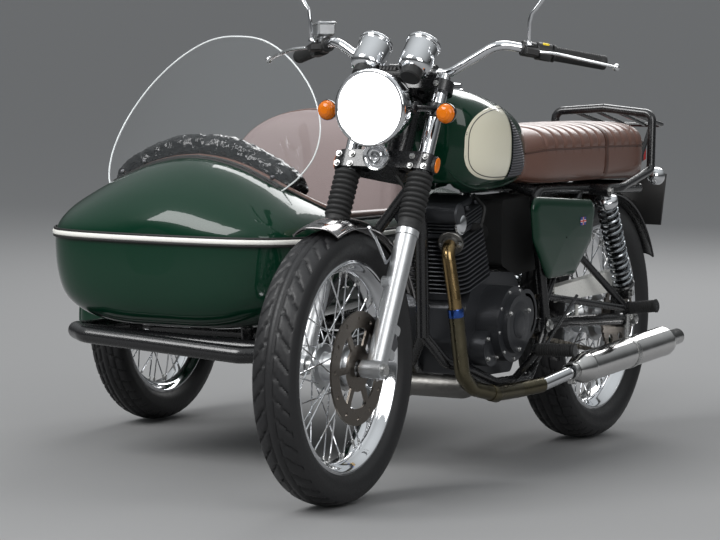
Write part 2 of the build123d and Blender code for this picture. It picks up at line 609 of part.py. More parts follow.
with BuildPart() as silencers:
    for side in (-1, 1):
        nose, tail = (Vector(side * end.X, end.Y, end.Z) for end in (SILENCER_NOSE, SILENCER_TAIL))
        run = (tail - nose).normalized()
        length, bore = (tail - nose).length, TAIL_TUBE_R - 4
        lathed(nose, run, [(0, 0), (22, 0), (SILENCER_R - 1, 46), (SILENCER_R, 60), (SILENCER_R, BARREL_END),
                           (SILENCER_R - 3, BARREL_END + 14), (TAIL_TUBE_R, BARREL_END + 22), (TAIL_TUBE_R, length),
                           (bore, length), (bore, length - 60), (0, length - 60)])
        bar((side * 169, 1290, 346), (side * 169, 1290, 262), 6)
keep("silencers", silencers.part)

# Tank, side covers and saddle
TANK_ROWS = [  # y, half width, bottom, top
    (402, 50, 768, 884), (414, 84, 734, 912), (444, 122, 700, 934), (520, 140, 680, 935), (640, 138, 678, 914),
    (740, 120, 686, 884), (812, 92, 696, 850), (838, 70, 710, 836)]
TUNNEL_HALF_W, TUNNEL_TOP = 68.0, 714.0
with BuildPart() as tank:
    for y, half_w, low, high in TANK_ROWS:
        with BuildSketch(Plane.XZ.offset(-y)):
            with Locations((0, (low + high) / 2)):
                RectangleRounded(2 * half_w, high - low, 0.42 * min(half_w, (high - low) / 2) * 1.6)
    loft()
    bar((0, 566, 920), (0, 566, 946), 34)
    with Locations((0, 640, TUNNEL_TOP - 50)):
        Box(2 * TUNNEL_HALF_W, 480, 100, mode=Mode.SUBTRACT)
keep("fuel_tank", tank.part)

with BuildPart() as side_covers:
    for side in (-1, 1):
        with BuildSketch(Plane.YZ.offset(side * 140)):
            with BuildLine():
                Polyline((738, 672), (1131, 645), (1100, 540), (1000, 463), (843, 463), (760, 560), close=True)
            make_face()
            fillet(vertices(), 30)
        extrude(amount=side * 14)
keep("side_covers", side_covers.part)

SADDLE_ROWS = [  # y, half width, bottom, top
    (806, 70, 716, 806), (820, 98, 698, 826), (900, 122, 692, 836), (1200, 130, 688, 832), (1450, 126, 680, 826),
    (1520, 106, 682, 814), (1540, 80, 696, 800)]
with BuildPart() as saddle:
    for y, half_w, low, high in SADDLE_ROWS:
        with BuildSketch(Plane.XZ.offset(-y)):
            with Locations((0, (low + high) / 2)):
                RectangleRounded(2 * half_w, high - low, 34)
    loft()
keep("saddle", saddle.part)

# Rear mudguard with the blank number-plate board
REAR_GUARD_R, REAR_GUARD_HALF_W = 343.0, 72.0
with BuildPart() as rear_guard:
    turned(REAR_AXLE, guard_profile(REAR_GUARD_R, REAR_GUARD_HALF_W, 3, 22), arc=122, start=-58)
    bar((-92, 1522, 668), (92, 1522, 668), 6)
    with BuildSketch(Plane((0, 1712, 614), x_dir=(1, 0, 0), z_dir=(0, 1, -0.25))):
        RectangleRounded(180, 140, 10)
    extrude(amount=4)
    bar((0, 1620, 590), (0, 1712, 600), 10)
keep("rear_mudguard", rear_guard.part)

with BuildPart() as rail:
    for side in (-1, 1):
        tube([(side * 106, 1262, 664), (side * 143, 1300, 668), (side * 143, 1492, 704), (side * 138, 1508, 850),
              (0, 1508, 862)], 22, 11)
        tube([(side * 84, 1506, 850), (side * 84, 1720, 812), (0, 1720, 812)], 20, 6)
        bar((side * 84, 1640, 826), (side * 84, 1530, 690), 6)
        bar((side * 30, 1510, 856), (side * 30, 1720, 812), 5)
keep("grab_rail_and_rack", rail.part)

with BuildPart() as tail_lamp:
    with BuildSketch(Plane((0, 1650, 744), x_dir=(1, 0, 0), z_dir=(0, 1, 0))):
        RectangleRounded(96, 62, 20)
    extrude(amount=56, taper=6)
    bar((0, 1640, 744), (0, 1600, 690), 14)
keep("tail_lamp", tail_lamp.part)

with BuildPart() as rear_indicators:
    x, y, z = REAR_INDICATOR
    add(indicators(x, y, z, 1))
    bar((-x, y - 14, z), (x, y - 14, z), 7)
keep("rear_indicators", rear_indicators.part)

# Swinging arm, its springs, the rear axle and the chain
ARM_X = 112.0
with BuildPart() as swing_arm:
    for side in (-1, 1):
        tube([(side * 56, PIVOT.Y, PIVOT.Z), (side * 96, 1050, 338), (side * ARM_X, 1400, 319)], 60, 16)
        bar((side * (SPROCKET_X + SPROCKET_T + GAP), 1400, 319), (side * (ARM_X + 16), 1400, 319), 24)
        bar((side * ARM_X, SHOCK_FOOT.Y, 330), (side * ARM_X, SHOCK_FOOT.Y, SHOCK_FOOT.Z), 13)
        bar((side * ARM_X, SHOCK_FOOT.Y, SHOCK_FOOT.Z), (side * 130, SHOCK_FOOT.Y, SHOCK_FOOT.Z), 11)
    bar((-90, 1048, 338), (90, 1048, 338), 13)
    bar((-74, PIVOT.Y, PIVOT.Z), (74, PIVOT.Y, PIVOT.Z), 20)
    bar((-140, 1400, 319), (140, 1400, 319), AXLE_R, Mode.SUBTRACT)
keep("swing_arm", swing_arm.part)

with BuildPart() as rear_axle:
    bar((-ARM_X - 24, 1400, 319), (ARM_X + 24, 1400, 319), AXLE_R)
    for side in (-1, 1):
        bar((side * (ARM_X + 16), 1400, 319), (side * (ARM_X + 26), 1400, 319), 15)
    bar((-SPROCKET_X - SPROCKET_T - GAP, 1400, 319), (-66 - GAP, 1400, 319), 14)
keep("rear_axle", rear_axle.part)

SPRING_COILS = 12
with BuildPart() as shocks:
    run = (SHOCK_TOP - SHOCK_FOOT).normalized()
    length = (SHOCK_TOP - SHOCK_FOOT).length
    outline = [(0, -14), (15, -14), (15, 20), (28, 22), (28, 26)]
    pitch = (length - 96) / SPRING_COILS
    for count in range(SPRING_COILS):
        outline += [(28, 26 + pitch * (count + 0.5)), (21, 26 + pitch * (count + 1))]
    outline += [(30, length - 68), (30, length - 20), (14, length - 16), (14, length + 14), (0, length + 14)]
    for side in (-1, 1):
        foot = Vector(side * SHOCK_FOOT.X, SHOCK_FOOT.Y, SHOCK_FOOT.Z)
        lathed(foot, run, outline)
keep("rear_shocks", shocks.part)

CHAIN_R = SPROCKET_R + CHAIN_DEPTH / 2 + GAP + 0.6
with BuildPart() as chain:
    for height in (1, -1):
        front = FRONT_SPROCKET + Vector(0, 0, height * FRONT_SPROCKET_R)
        back = Vector(CHAIN_X, WHEELBASE, REAR_TYRE_R + height * CHAIN_R)
        with BuildSketch(Plane(front, x_dir=(1, 0, 0), z_dir=back - front)):
            Rectangle(2 * CHAIN_HALF_W, CHAIN_DEPTH)
        extrude(amount=(back - front).length)
    for centre, radius, start in ((FRONT_SPROCKET, FRONT_SPROCKET_R, 180),
                                  (REAR_AXLE + Vector(CHAIN_X, 0, 0), CHAIN_R, 0)):
        low, high = radius - CHAIN_DEPTH / 2, radius + CHAIN_DEPTH / 2
        turned(centre, [(-CHAIN_HALF_W, low), (CHAIN_HALF_W, low), (CHAIN_HALF_W, high), (-CHAIN_HALF_W, high)],
               arc=180, start=start)
keep("drive_chain", chain.part)

with BuildPart() as chain_guard:
    with BuildSketch(Plane.YZ.offset(CHAIN_X - 13)):
        with BuildLine():
            Polyline((980, 430), (1360, 448), (1452, 436), (1452, 424), (1360, 434), (980, 418), close=True)
        make_face()
    extrude(amount=26)
    with BuildSketch(Plane.YZ.offset(CHAIN_X + 13)):
        with BuildLine():
            Polyline((980, 430), (1360, 448), (1452, 436), (1452, 380), (1340, 392), (980, 392), close=True)
        make_face()
    extrude(amount=2)
    bar((CHAIN_X + 14, 1120, 345), (CHAIN_X + 14, 1120, 400), 5)
keep("chain_guard", chain_guard.part)

PEG_R = 14.0
# Footpegs: the rider's on short arms, the passenger's on triangular stays
with BuildPart() as pegs:
    for side in (-1, 1):
        bar((side * CRADLE_X, 760, 217), (side * 158, 760, 292), 9)
        bar((side * 150, 760, 296), (side * 258, 760, 300), 14)
        bar((side * UPRIGHT_X, 915, 412), (side * 166, 1290, 356), 9)
        bar((side * 166, 1290, 358), (side * 102, 1036, 548), 9)
        bar((side * 160, 1290, 356), (side * 176, 1290, 358), 17)
        bar((side * 170, 1290, 357.25), (side * 252, 1290, 367.5), PEG_R)
    bar((150, 1010, 410), (132, 850, 288), 4)
    bar((CRADLE_X, 850, 217), (133, 850, 292), 7)
keep("footpegs", pegs.part)

# Sidecar body
BODY_STATIONS = [  # y, half width at the belt, floor, crown, how far the surface faces rearwards
    (318, 70, 470, 586, -1.0), (321, 118, 440, 600, -0.97), (330, 190, 400, 619, -0.9), (348, 254, 366, 642, -0.75),
    (380, 306, 344, 674, -0.5), (430, 342, 334, 710, -0.25), (480, 360, 330, 735, -0.1), (540, 369, 330, 749, 0.0),
    (660, 374, 330, 738, 0.0), (850, 375, 330, 724, 0.0), (1150, 375, 330, 704, 0.0), (1380, 364, 332, 684, 0.08),
    (1560, 336, 345, 658, 0.2), (1710, 282, 372, 630, 0.4), (1820, 204, 408, 604, 0.65), (1880, 124, 446, 584, 0.88),
    (1905, 60, 486, 570, 1.0)]
HOOD_SECTION = [  # share of the half width, share of the height over the belt
    (1.0, 0.0), (0.965, 0.17), (0.89, 0.34), (0.77, 0.5), (0.65, 0.63), (0.5, 0.77), (0.34, 0.89), (0.17, 0.97),
    (0.0, 1.0)]
HULL_SECTION = [  # share of the half width, share of the depth under the belt
    (1.0, 0.0), (0.995, 0.28), (0.967, 0.5), (0.905, 0.7), (0.8, 0.83), (0.64, 0.93), (0.4, 0.99), (0.0, 1.0)]


def body_solid(grow):
    """The whole outer shape of the sidecar body, lofted along its length and grown outwards."""
    with BuildPart(mode=Mode.PRIVATE) as made:
        for y, half_w, floor_z, crown_z, facing in BODY_STATIONS:
            spread = grow * max(math.sqrt(1 - 0.98 * facing * facing), 0.35)
            w, over, under = half_w + spread, crown_z + spread - BELT_Z, BELT_Z - floor_z + spread
            with BuildSketch(Plane.XZ.offset(-(y + grow * facing))):
                with BuildLine():
                    for section, height, across in ((HOOD_SECTION, over, 1), (HULL_SECTION, -under, -1)):
                        side = [(w * u, height * v) for u, v in section]
                        line = side + [(-u, v) for u, v in reversed(side[:-1])]
                        Spline(*[(BODY_X + across * u, BELT_Z + v) for u, v in line])
                make_face()
        loft()
    return made.part


BODY_OUTER = body_solid(0)
BODY_INNER = body_solid(-BODY_WALL)
COCKPIT_FRONT, COCKPIT_REAR, COCKPIT_HALF_W = 552.0, 1262.0, 346.0
with BuildPart() as tub:
    add(BODY_OUTER)
    add(BODY_INNER, mode=Mode.SUBTRACT)
    with BuildSketch(Plane.XY.offset(BELT_Z)):
        with Locations((BODY_X, 1100)):
            Rectangle(1000, 2000)
    extrude(amount=400, mode=Mode.SUBTRACT)
keep("sidecar_tub", tub.part)

with BuildPart() as deck:
    add(BODY_OUTER)
    add(BODY_INNER, mode=Mode.SUBTRACT)
    with BuildSketch(Plane.XY.offset(BELT_Z)):
        with Locations((BODY_X, 1100)):
            Rectangle(1000, 2000)
    extrude(amount=-400, mode=Mode.SUBTRACT)
    with BuildSketch(Plane.XY.offset(BELT_Z)):
        with Locations((BODY_X, (COCKPIT_FRONT + COCKPIT_REAR) / 2)):
            RectangleRounded(2 * COCKPIT_HALF_W, COCKPIT_REAR - COCKPIT_FRONT, 150)
    extrude(amount=400, mode=Mode.SUBTRACT)
keep("sidecar_upper_body", deck.part)

with BuildPart() as moulding:
    add(body_solid(8))
    add(body_solid(1), mode=Mode.SUBTRACT)
    with BuildSketch(Plane.XY.offset(BELT_Z + 12)):
        with Locations((BODY_X, 1100)):
            Rectangle(1000, 2000)
    extrude(amount=400, mode=Mode.SUBTRACT)
    with BuildSketch(Plane.XY.offset(BELT_Z - 12)):
        with Locations((BODY_X, 1100)):
            Rectangle(1000, 2000)
    extrude(amount=-400, mode=Mode.SUBTRACT)
keep("sidecar_belt_moulding", moulding.part)

# Windscreen: a bent clear sheet leaning back, its foot on the hood
SCREEN_FOOT_Y, SCREEN_LEAN, SCREEN_BEND_R, SCREEN_T = 522.0, 36.5, 650.0, 4.0
SCREEN_EDGE = [(0, 1046), (80, 1035), (160, 990), (232, 918), (278, 836), (290, 762), (272, 704), (238, 664)]
with BuildPart() as screen:
    lean = math.radians(SCREEN_LEAN)
    foot = Plane((BODY_X, SCREEN_FOOT_Y, 745), x_dir=(1, 0, 0), z_dir=(0, math.sin(lean), math.cos(lean)))
    with BuildSketch(foot.offset(-260)):
        with Locations((0, SCREEN_BEND_R)):
            Circle(SCREEN_BEND_R)
            Circle(SCREEN_BEND_R - SCREEN_T, mode=Mode.SUBTRACT)
        with Locations((0, SCREEN_BEND_R + 250)):
            Rectangle(4 * SCREEN_BEND_R, 2 * SCREEN_BEND_R, mode=Mode.SUBTRACT)
    extrude(amount=800)
    with BuildSketch(Plane.XZ):
        with BuildLine():
            edge = [(BODY_X + x, z) for x, z in SCREEN_EDGE]
            other = [(BODY_X - x, z) for x, z in reversed(SCREEN_EDGE[1:])]
            Spline(*other, *edge)
            ThreePointArc(edge[-1], (BODY_X, 742), other[0])
        make_face()
    extrude(amount=-1400, mode=Mode.INTERSECT)
    add(BODY_OUTER, mode=Mode.SUBTRACT)
keep("sidecar_windscreen", screen.part)

# Padded roll along the front of the cockpit, seat cushion and seat back
ROLL_R = 33.0
with BuildPart() as pad:
    half = [(84, 592, 763), (190, 592, 718), (260, 618, 666)]
    tube([(BODY_X + x, y, z) for x, y, z in [*reversed(mirrored(half)), *half]], [60, 90, 90, 60], ROLL_R)
keep("cockpit_roll", pad.part)

CUSHION_H, SEAT_BACK_T, SEAT_BACK_HALF_W = 150.0, 84.0, 262.0
with BuildPart() as side_seat:
    with BuildSketch(Plane.XY.offset(BODY_FLOOR_Z + BODY_WALL)):
        with Locations((BODY_X, 880)):
            RectangleRounded(520, 440, 60)
    extrude(amount=CUSHION_H)
    fillet(side_seat.edges().group_by(Axis.Z)[-1], 30)
    add(body_solid(-BODY_WALL - 0.5), mode=Mode.INTERSECT)
    back = Plane((BODY_X, 1090, BODY_FLOOR_Z + BODY_WALL), x_dir=(1, 0, 0), z_dir=(0, -1, 0.14))
    with BuildSketch(back):
        with BuildLine():
            Line((-SEAT_BACK_HALF_W + 24, 160), (SEAT_BACK_HALF_W - 24, 160))
            Line((SEAT_BACK_HALF_W - 24, 160), (SEAT_BACK_HALF_W, 366))
            EllipticalCenterArc((0, 366), SEAT_BACK_HALF_W, 157, 0, arc_size=180)
            Line((-SEAT_BACK_HALF_W, 366), (-SEAT_BACK_HALF_W + 24, 160))
        make_face()
    extrude(amount=-SEAT_BACK_T)
keep("sidecar_seat", side_seat.part)

# Sidecar chassis: a tube loop under the body, cross members and four struts to the motorcycle
LOOP_X, LOOP_FRONT, LOOP_REAR = (-372.0, -938.0), 338.0, 1560.0
with BuildPart() as chassis:
    z = CHASSIS_Z
    tube([(LOOP_X[0], LOOP_REAR, z), (LOOP_X[0], LOOP_FRONT + 40, z - 4), (LOOP_X[0] - 70, LOOP_FRONT, z - 6),
          (LOOP_X[1] + 60, LOOP_FRONT, z + 20), (LOOP_X[1], LOOP_FRONT + 50, z + 24), (LOOP_X[1], LOOP_REAR, z)],
         34, CHASSIS_R)
    bar((LOOP_X[0], 400, z + 2), (LOOP_X[1], 400, z + 20), CHASSIS_R - 1)
    for y in (760, SIDE_WHEEL_Y, LOOP_REAR):
        bar((LOOP_X[0], y, z), (LOOP_X[1], y, z), CHASSIS_R - 2)
    for y in (520, 1380):
        for x in (-520, -840):
            bar((x, y, z - 16), (x, y, BODY_FLOOR_Z), 16)
        bar((LOOP_X[0], y, z), (LOOP_X[1], y, z), CHASSIS_R - 6)
    bar((LOOP_X[0], 560, z + 8), (-90, 602, 246), 15)
    bar((LOOP_X[0], 1060, z), (-UPRIGHT_X, 903, 344), 15)
    bar((LOOP_X[0], 470, z), (-12, 404, 712), 13)
    bar((LOOP_X[0], 1160, z), (-RAIL_X, 1162, 660), 13)
keep("sidecar_chassis", chassis.part)

with BuildPart() as side_arm:
    bar((LOOP_X[1] - CHASSIS_R, 900, 300), (-980, 900, 300), 22)
    tube([(-970, 880, 300), (-1056, 960, 300), (-1056, 1180, 300)], 40, 17)
    bar((-1056, SIDE_WHEEL_Y, 300), (SIDE_WHEEL_X + 52 + GAP, SIDE_WHEEL_Y, 300), 20)
    bar((-1060, SIDE_WHEEL_Y, 300), (-1192, SIDE_WHEEL_Y, 300), AXLE_R)
    bar((SIDE_WHEEL_X - 40 - GAP, SIDE_WHEEL_Y, 300), (-1198, SIDE_WHEEL_Y, 300), 16)
    bar((-1010, 1165, 300), (-1010, 1165, 425), 14)
    bar((-1010, 1165, 300), (-1050, 1165, 300), 12)
keep("sidecar_wheel_arm", side_arm.part)

SIDE_GUARD_R = 322.0
with BuildPart() as side_guard:
    turned(SIDE_AXLE, guard_profile(SIDE_GUARD_R, 60, 3, 22), arc=172, start=-92)
    for turn in (-28, 0, 28):
        angle = math.radians(turn)
        bar((-1076, SIDE_WHEEL_Y + 14 * math.sin(angle), 312),
            (-1078, SIDE_WHEEL_Y + 303 * math.sin(angle), SIDE_TYRE_R + 303 * math.cos(angle)), 5)
keep("sidecar_mudguard", side_guard.part)

with BuildPart() as side_lamp:
    lamp = Vector(SIDE_WHEEL_X, 872, 606)
    lathed(lamp, REARWARD, [(0, -10), *reversed(dome(28, 0, -10)[:-1]), *dome(30, 4, 52)])
    bar(lamp + Vector(0, 20, -20), (SIDE_WHEEL_X, 914, 552), 9)
keep("sidecar_lamp", side_lamp.part)

# Pieces that give way to the ones they are fixed to
GIVES_WAY = [
    ("airbox", "cylinder_and_head"), ("airbox", "main_frame"), ("brake_caliper", "fork_sliders"),
    ("brake_hose", "brake_caliper"), ("brake_hose", "lower_yoke"), ("brake_hose", "fork_sliders"),
    ("gauges", "upper_yoke"), ("horn", "lower_yoke"), ("headlamp_brackets", "fork_stanchions"),
    ("headlamp_brackets", "headlamp_shell"), ("headlamp_brackets", "front_indicators"), ("mirrors", "bar_controls"),
    ("crankcase", "cylinder_and_head"), ("crankcase", "main_frame"), ("engine_covers", "main_frame"),
    ("exhaust_headers", "cylinder_and_head"), ("fuel_tank", "main_frame"), ("fuel_tank", "saddle"),
    ("grab_rail_and_rack", "main_frame"), ("tail_lamp", "rear_mudguard"), ("swing_arm", "rear_shocks"),
    ("main_frame", "rear_shocks"), ("footpegs", "main_frame"), ("chain_guard", "swing_arm"),
    ("sidecar_chassis", "main_frame"), ("sidecar_chassis", "sidecar_tub"), ("exhaust_headers", "silencers"), ("silencers", "footpegs"),
    ("saddle", "grab_rail_and_rack"), ("saddle", "main_frame"), ("horn", "headlamp_shell"),
    ("rear_mudguard", "main_frame"), ("main_frame", "drive_chain"),
    ("sidecar_wheel_arm", "sidecar_chassis"), ("sidecar_wheel_arm", "sidecar_tub"),
    ("sidecar_mudguard", "sidecar_wheel_arm"), ("sidecar_lamp", "sidecar_mudguard"),
    ("front_mudguard", "fork_sliders"),
]
for name, other in GIVES_WAY:
    with BuildPart() as fitted:
        add(PIECES[name])
        add(PIECES[other], mode=Mode.SUBTRACT)
    keep(name, fitted.part)

# Move the whole machine over the origin and write the parts
os.makedirs("parts", exist_ok=True)
boxes = [shape.bounding_box() for shape in PIECES.values()]
middle_x = (min(box.min.X for box in boxes) + max(box.max.X for box in boxes)) / 2
middle_y = (min(box.min.Y for box in boxes) + max(box.max.Y for box in boxes)) / 2
print("origin at", round(middle_x, 3), round(middle_y, 3))
for name, shape in PIECES.items():
    moved = shape.moved(Location((-middle_x, -middle_y, 0)))
    moved.label = name
    export_step(moved, "parts/" + name + ".step")
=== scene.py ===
"""Looks for the sidecar motorcycle: materials, tyres with tread, leather, glass and small fittings."""
import json
from math import acos, asin, copysign, cos, exp, hypot, pi, radians, sin, sqrt, tan

import bmesh
import bpy
from mathutils import Matrix, Vector


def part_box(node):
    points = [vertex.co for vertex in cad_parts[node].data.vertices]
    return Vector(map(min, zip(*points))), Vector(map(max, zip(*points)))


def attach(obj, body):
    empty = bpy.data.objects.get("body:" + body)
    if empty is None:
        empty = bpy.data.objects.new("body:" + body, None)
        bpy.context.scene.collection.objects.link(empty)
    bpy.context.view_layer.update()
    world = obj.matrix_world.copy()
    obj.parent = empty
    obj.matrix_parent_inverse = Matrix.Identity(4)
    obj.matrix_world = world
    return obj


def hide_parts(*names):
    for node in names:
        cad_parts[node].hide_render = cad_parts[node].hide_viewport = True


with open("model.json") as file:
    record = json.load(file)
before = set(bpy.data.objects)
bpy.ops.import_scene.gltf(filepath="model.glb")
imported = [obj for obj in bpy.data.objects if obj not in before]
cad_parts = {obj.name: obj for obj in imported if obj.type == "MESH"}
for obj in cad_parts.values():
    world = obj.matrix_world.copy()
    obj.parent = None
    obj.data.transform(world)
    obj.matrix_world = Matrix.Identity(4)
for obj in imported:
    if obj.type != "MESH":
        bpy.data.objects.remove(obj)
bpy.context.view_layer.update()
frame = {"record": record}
TAU = 2 * pi
SIDES = (-1, 1)


def vec(*values):
    """A vector from its values."""
    return Vector(values)


X, Y, Z = vec(1, 0, 0), vec(0, 1, 0), vec(0, 0, 1)

# The motorcycle's own datum: x = 0 its middle plane, y = 0 the front axle, z = 0 the ground, in mm
low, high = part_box("front_tyre")
DATUM = vec((low[0] + high[0]) / 2, (low[1] + high[1]) / 2, 0)


def at(x, y, z):
    """A point of the motorcycle's own datum, mm, in the scene's metres."""
    return DATUM + vec(x, y, z) / 1000


# Camera: fitted to the photograph
AZIMUTH, ELEVATION, ROLL = map(radians, (27.42, 4.747, 0.603))
CAMERA_PLACE, LENS, SENSOR, FAR_CLIP = (3566.87, -6757.72, 1171.34), 169.73, 36.0, 4000.0
data = bpy.data.cameras.new("camera")
data.sensor_width, data.lens, data.clip_end = SENSOR, LENS, FAR_CLIP
camera = bpy.data.objects.new("camera", data)
bpy.context.collection.objects.link(camera)
back = vec(sin(AZIMUTH) * cos(ELEVATION), -cos(AZIMUTH) * cos(ELEVATION), sin(ELEVATION))
right = (-back).cross(Z).normalized()
up = right.cross(-back)
axes = (right * cos(ROLL) + up * sin(ROLL), up * cos(ROLL) - right * sin(ROLL), back)
camera.matrix_world = Matrix.Translation(at(*CAMERA_PLACE)) @ Matrix(axes).transposed().to_4x4()
bpy.context.scene.camera = camera

# Materials, and the record's slot listed with each of them
LOOKS, SLOTS = {}, {}
NOISE, VORONOI = "ShaderNodeTexNoise", "ShaderNodeTexVoronoi"


def look(name, color, rough, metal=0.0, grain=None, slot=None, kind=NOISE, detail=6.0, **more):
    """A node material. grain is a texture's scale, bump, depth, change of colour and of roughness; more are
    other sockets of the shader, and slot is the record's slot where that isn't the name."""
    made = LOOKS[name] = bpy.data.materials.new(name)
    SLOTS[name] = slot or name
    made.use_nodes = True
    nodes, links = made.node_tree.nodes, made.node_tree.links
    socket = nodes["Principled BSDF"].inputs
    for key, value in {"Base Color": (*color, 1), "Roughness": rough, "Metallic": metal, **more}.items():
        socket[key.replace("_", " ")].default_value = value
    if not grain:
        return
    scale, strength, depth, tint, spread = grain
    texture = nodes.new(kind)
    texture.inputs["Scale"].default_value, texture.inputs["Detail"].default_value = scale, detail
    links.new(nodes.new("ShaderNodeTexCoord").outputs["Object"], texture.inputs["Vector"])
    value = texture.outputs[0]
    if strength:
        bump = nodes.new("ShaderNodeBump")
        bump.inputs["Strength"].default_value, bump.inputs["Distance"].default_value = strength, depth
        links.new(value, bump.inputs["Height"])
        links.new(bump.outputs["Normal"], socket["Normal"])
    mix = nodes.new("ShaderNodeMix")
    mix.data_type = "RGBA"
    for index, share in ((6, 1 - tint), (7, 1 + tint)):
        mix.inputs[index].default_value = (*[min(1.0, c * share) for c in color], 1)
    links.new(value, mix.inputs[0])
    links.new(mix.outputs[2], socket["Base Color"])
    if spread:
        span = nodes.new("ShaderNodeMapRange")
        for index, limit in enumerate((0.3, 0.7, max(0.0, rough - spread), min(1.0, rough + spread)), 1):
            span.inputs[index].default_value = limit
        links.new(value, span.inputs[0])
        links.new(span.outputs[0], socket["Roughness"])


look("green_paint", (0.0008, 0.025, 0.0115), 0.3, 0, (900, 0.02, 0.0002, 0.06, 0.03), Coat_Weight=1.0,
     Coat_Roughness=0.04, Coat_IOR=1.4, Specular_IOR_Level=0.1)
look("cream_paint", (0.80, 0.76, 0.60), 0.2, 0, (700, 0, 0, 0.03, 0), "white_trim", Coat_Weight=1.0,
     Coat_Roughness=0.05)
look("white_trim", (0.82, 0.81, 0.76), 0.3, 0, (300, 0.05, 0.0003, 0.04, 0.05))
look("chrome", (0.80, 0.81, 0.83), 0.07, 1, (40, 0, 0, 0.03, 0.04))
# Chrome darkened for the front mudguard: a painted dark reflection of its surroundings
look("chrome_dark_reflection", (0.30, 0.29, 0.29), 0.12, 1, (40, 0, 0, 0.08, 0.05), "chrome")
look("silencer_chrome", (0.72, 0.71, 0.70), 0.13, 1, (25, 0, 0, 0.06, 0.07), "chrome")
look("spring_steel", (0.34, 0.36, 0.38), 0.22, 1, (60, 0, 0, 0.1, 0.05), "chrome")
look("cast_aluminium", (0.62, 0.63, 0.64), 0.36, 1, (420, 0.12, 0.0004, 0.05, 0.08), "aluminium")
look("dark_aluminium", (0.16, 0.16, 0.17), 0.5, 0.9, (500, 0.2, 0.0005, 0.1, 0.1), "zinc_steel")
look("lever_silver", (0.78, 0.79, 0.80), 0.24, 1, (120, 0, 0, 0.05, 0.05), "aluminium")
look("painted_alloy", (0.54, 0.55, 0.56), 0.34, 0.8, (500, 0.12, 0.0003, 0.05, 0.08))
look("zinc_steel", (0.55, 0.55, 0.54), 0.3, 1, (200, 0.05, 0.0003, 0.08, 0.1))
look("disc_steel", (0.17, 0.15, 0.13), 0.36, 1, (160, 0.1, 0.0003, 0.25, 0.1))
look("chain_steel", (0.2, 0.18, 0.15), 0.42, 1, (300, 0.2, 0.0005, 0.2, 0.1))
look("header_steel", (0.30, 0.21, 0.10), 0.25, 1, (30, 0, 0, 0.4, 0.08))
look("sleeve_steel", (0.13, 0.115, 0.075), 0.3, 1, (30, 0, 0, 0.35, 0.08), "header_steel")
look("grey_steel", (0.19, 0.185, 0.175), 0.42, 1, (120, 0.15, 0.0005, 0.25, 0.1), "header_steel")
look("blued_steel", (0.05, 0.12, 0.42), 0.25, 1, (60, 0, 0, 0.3, 0.06), "header_steel")
look("black_paint", (0.008, 0.008, 0.009), 0.28, 0, (260, 0.05, 0.0003, 0.1, 0.08), Coat_Weight=0.5,
     Coat_Roughness=0.15)
look("engine_black", (0.045, 0.047, 0.052), 0.36, 0.55, (650, 0.2, 0.0004, 0.15, 0.08))
look("black_plastic", (0.012, 0.012, 0.012), 0.5, 0, (800, 0.3, 0.0004, 0.1, 0.08))
look("rubber", (0.013, 0.013, 0.013), 0.62, 0, (500, 0.25, 0.0005, 0.2, 0.1))
# A lighter grey copy of the rubber for the knee pad ribs: painted highlight on their raised tops
look("rib_highlight_rubber", (0.085, 0.085, 0.095), 0.55, 0, (400, 0.2, 0.0004, 0.15, 0.08), "rubber")
look("tyre", (0.011, 0.011, 0.012), 0.5, 0, (220, 0.35, 0.0008, 0.3, 0.1))
look("brown_leather", (0.115, 0.052, 0.036), 0.42, 0, (420, 0.5, 0.0008, 0.22, 0.1), kind=VORONOI,
     Coat_Weight=0.7, Coat_Roughness=0.28)
look("sidecar_leather", (0.26, 0.205, 0.20), 0.48, 0, (420, 0.4, 0.0008, 0.12, 0.08), "brown_leather",
     VORONOI)
look("dark_leather", (0.07, 0.03, 0.02), 0.45, 0, (420, 0.4, 0.0006, 0.2, 0.1), "brown_leather")
look("thread", (0.16, 0.09, 0.06), 0.7, slot="brown_leather")
look("crinkled_vinyl", (0.002, 0.002, 0.003), 0.15, 0, (30, 1.0, 0.014, 0.1, 0.08), "black_vinyl", detail=3.0,
     Specular_IOR_Level=0.45)
# The amber glows faintly: a painted glow, which the reflector discs share though they are no lamps
look("amber_lens", (0.72, 0.17, 0.004), 0.12, slot="amber", Transmission_Weight=0.2, Emission_Strength=0.08,
     Emission_Color=(1.0, 0.25, 0.01, 1))
look("red_lens", (0.55, 0.012, 0.012), 0.14, Transmission_Weight=0.2)
look("lamp_light", (1, 1, 1), 0.1, Emission_Strength=3.2, Emission_Color=(1, 1, 1, 1))
look("lamp_lens", (1, 1, 1), 0.08, slot="lamp_glass", Emission_Strength=2.6, Emission_Color=(1, 1, 1, 1))
look("clear_screen", (0.84, 0.88, 0.89), 0.05, 0.9, Alpha=0.035)
# The windscreen rim's pale, part-opaque colour is a painted highlight of the clear sheet's edge
look("screen_edge_glint", (0.9, 0.93, 0.93), 0.12, slot="clear_screen", Alpha=0.7)
look("mirror_glass", (0.9, 0.9, 0.9), 0.02, 1, slot="chrome")
look("dial_face", (0.01, 0.01, 0.012), 0.3, slot="black_paint")
look("dial_marks", (0.8, 0.8, 0.78), 0.5, slot="white_trim")
look("needle_red", (0.7, 0.03, 0.01), 0.4, slot="red_lens")
look("button_yellow", (0.85, 0.62, 0.02), 0.4, slot="amber")
look("flag_blue", (0.02, 0.03, 0.22), 0.35, slot="white_trim")
look("flag_white", (0.8, 0.8, 0.8), 0.35, slot="white_trim")
look("flag_red", (0.6, 0.02, 0.02), 0.35, slot="white_trim")
look("floor_grey", (0.25, 0.25, 0.25), 0.95, Specular_IOR_Level=0.1)

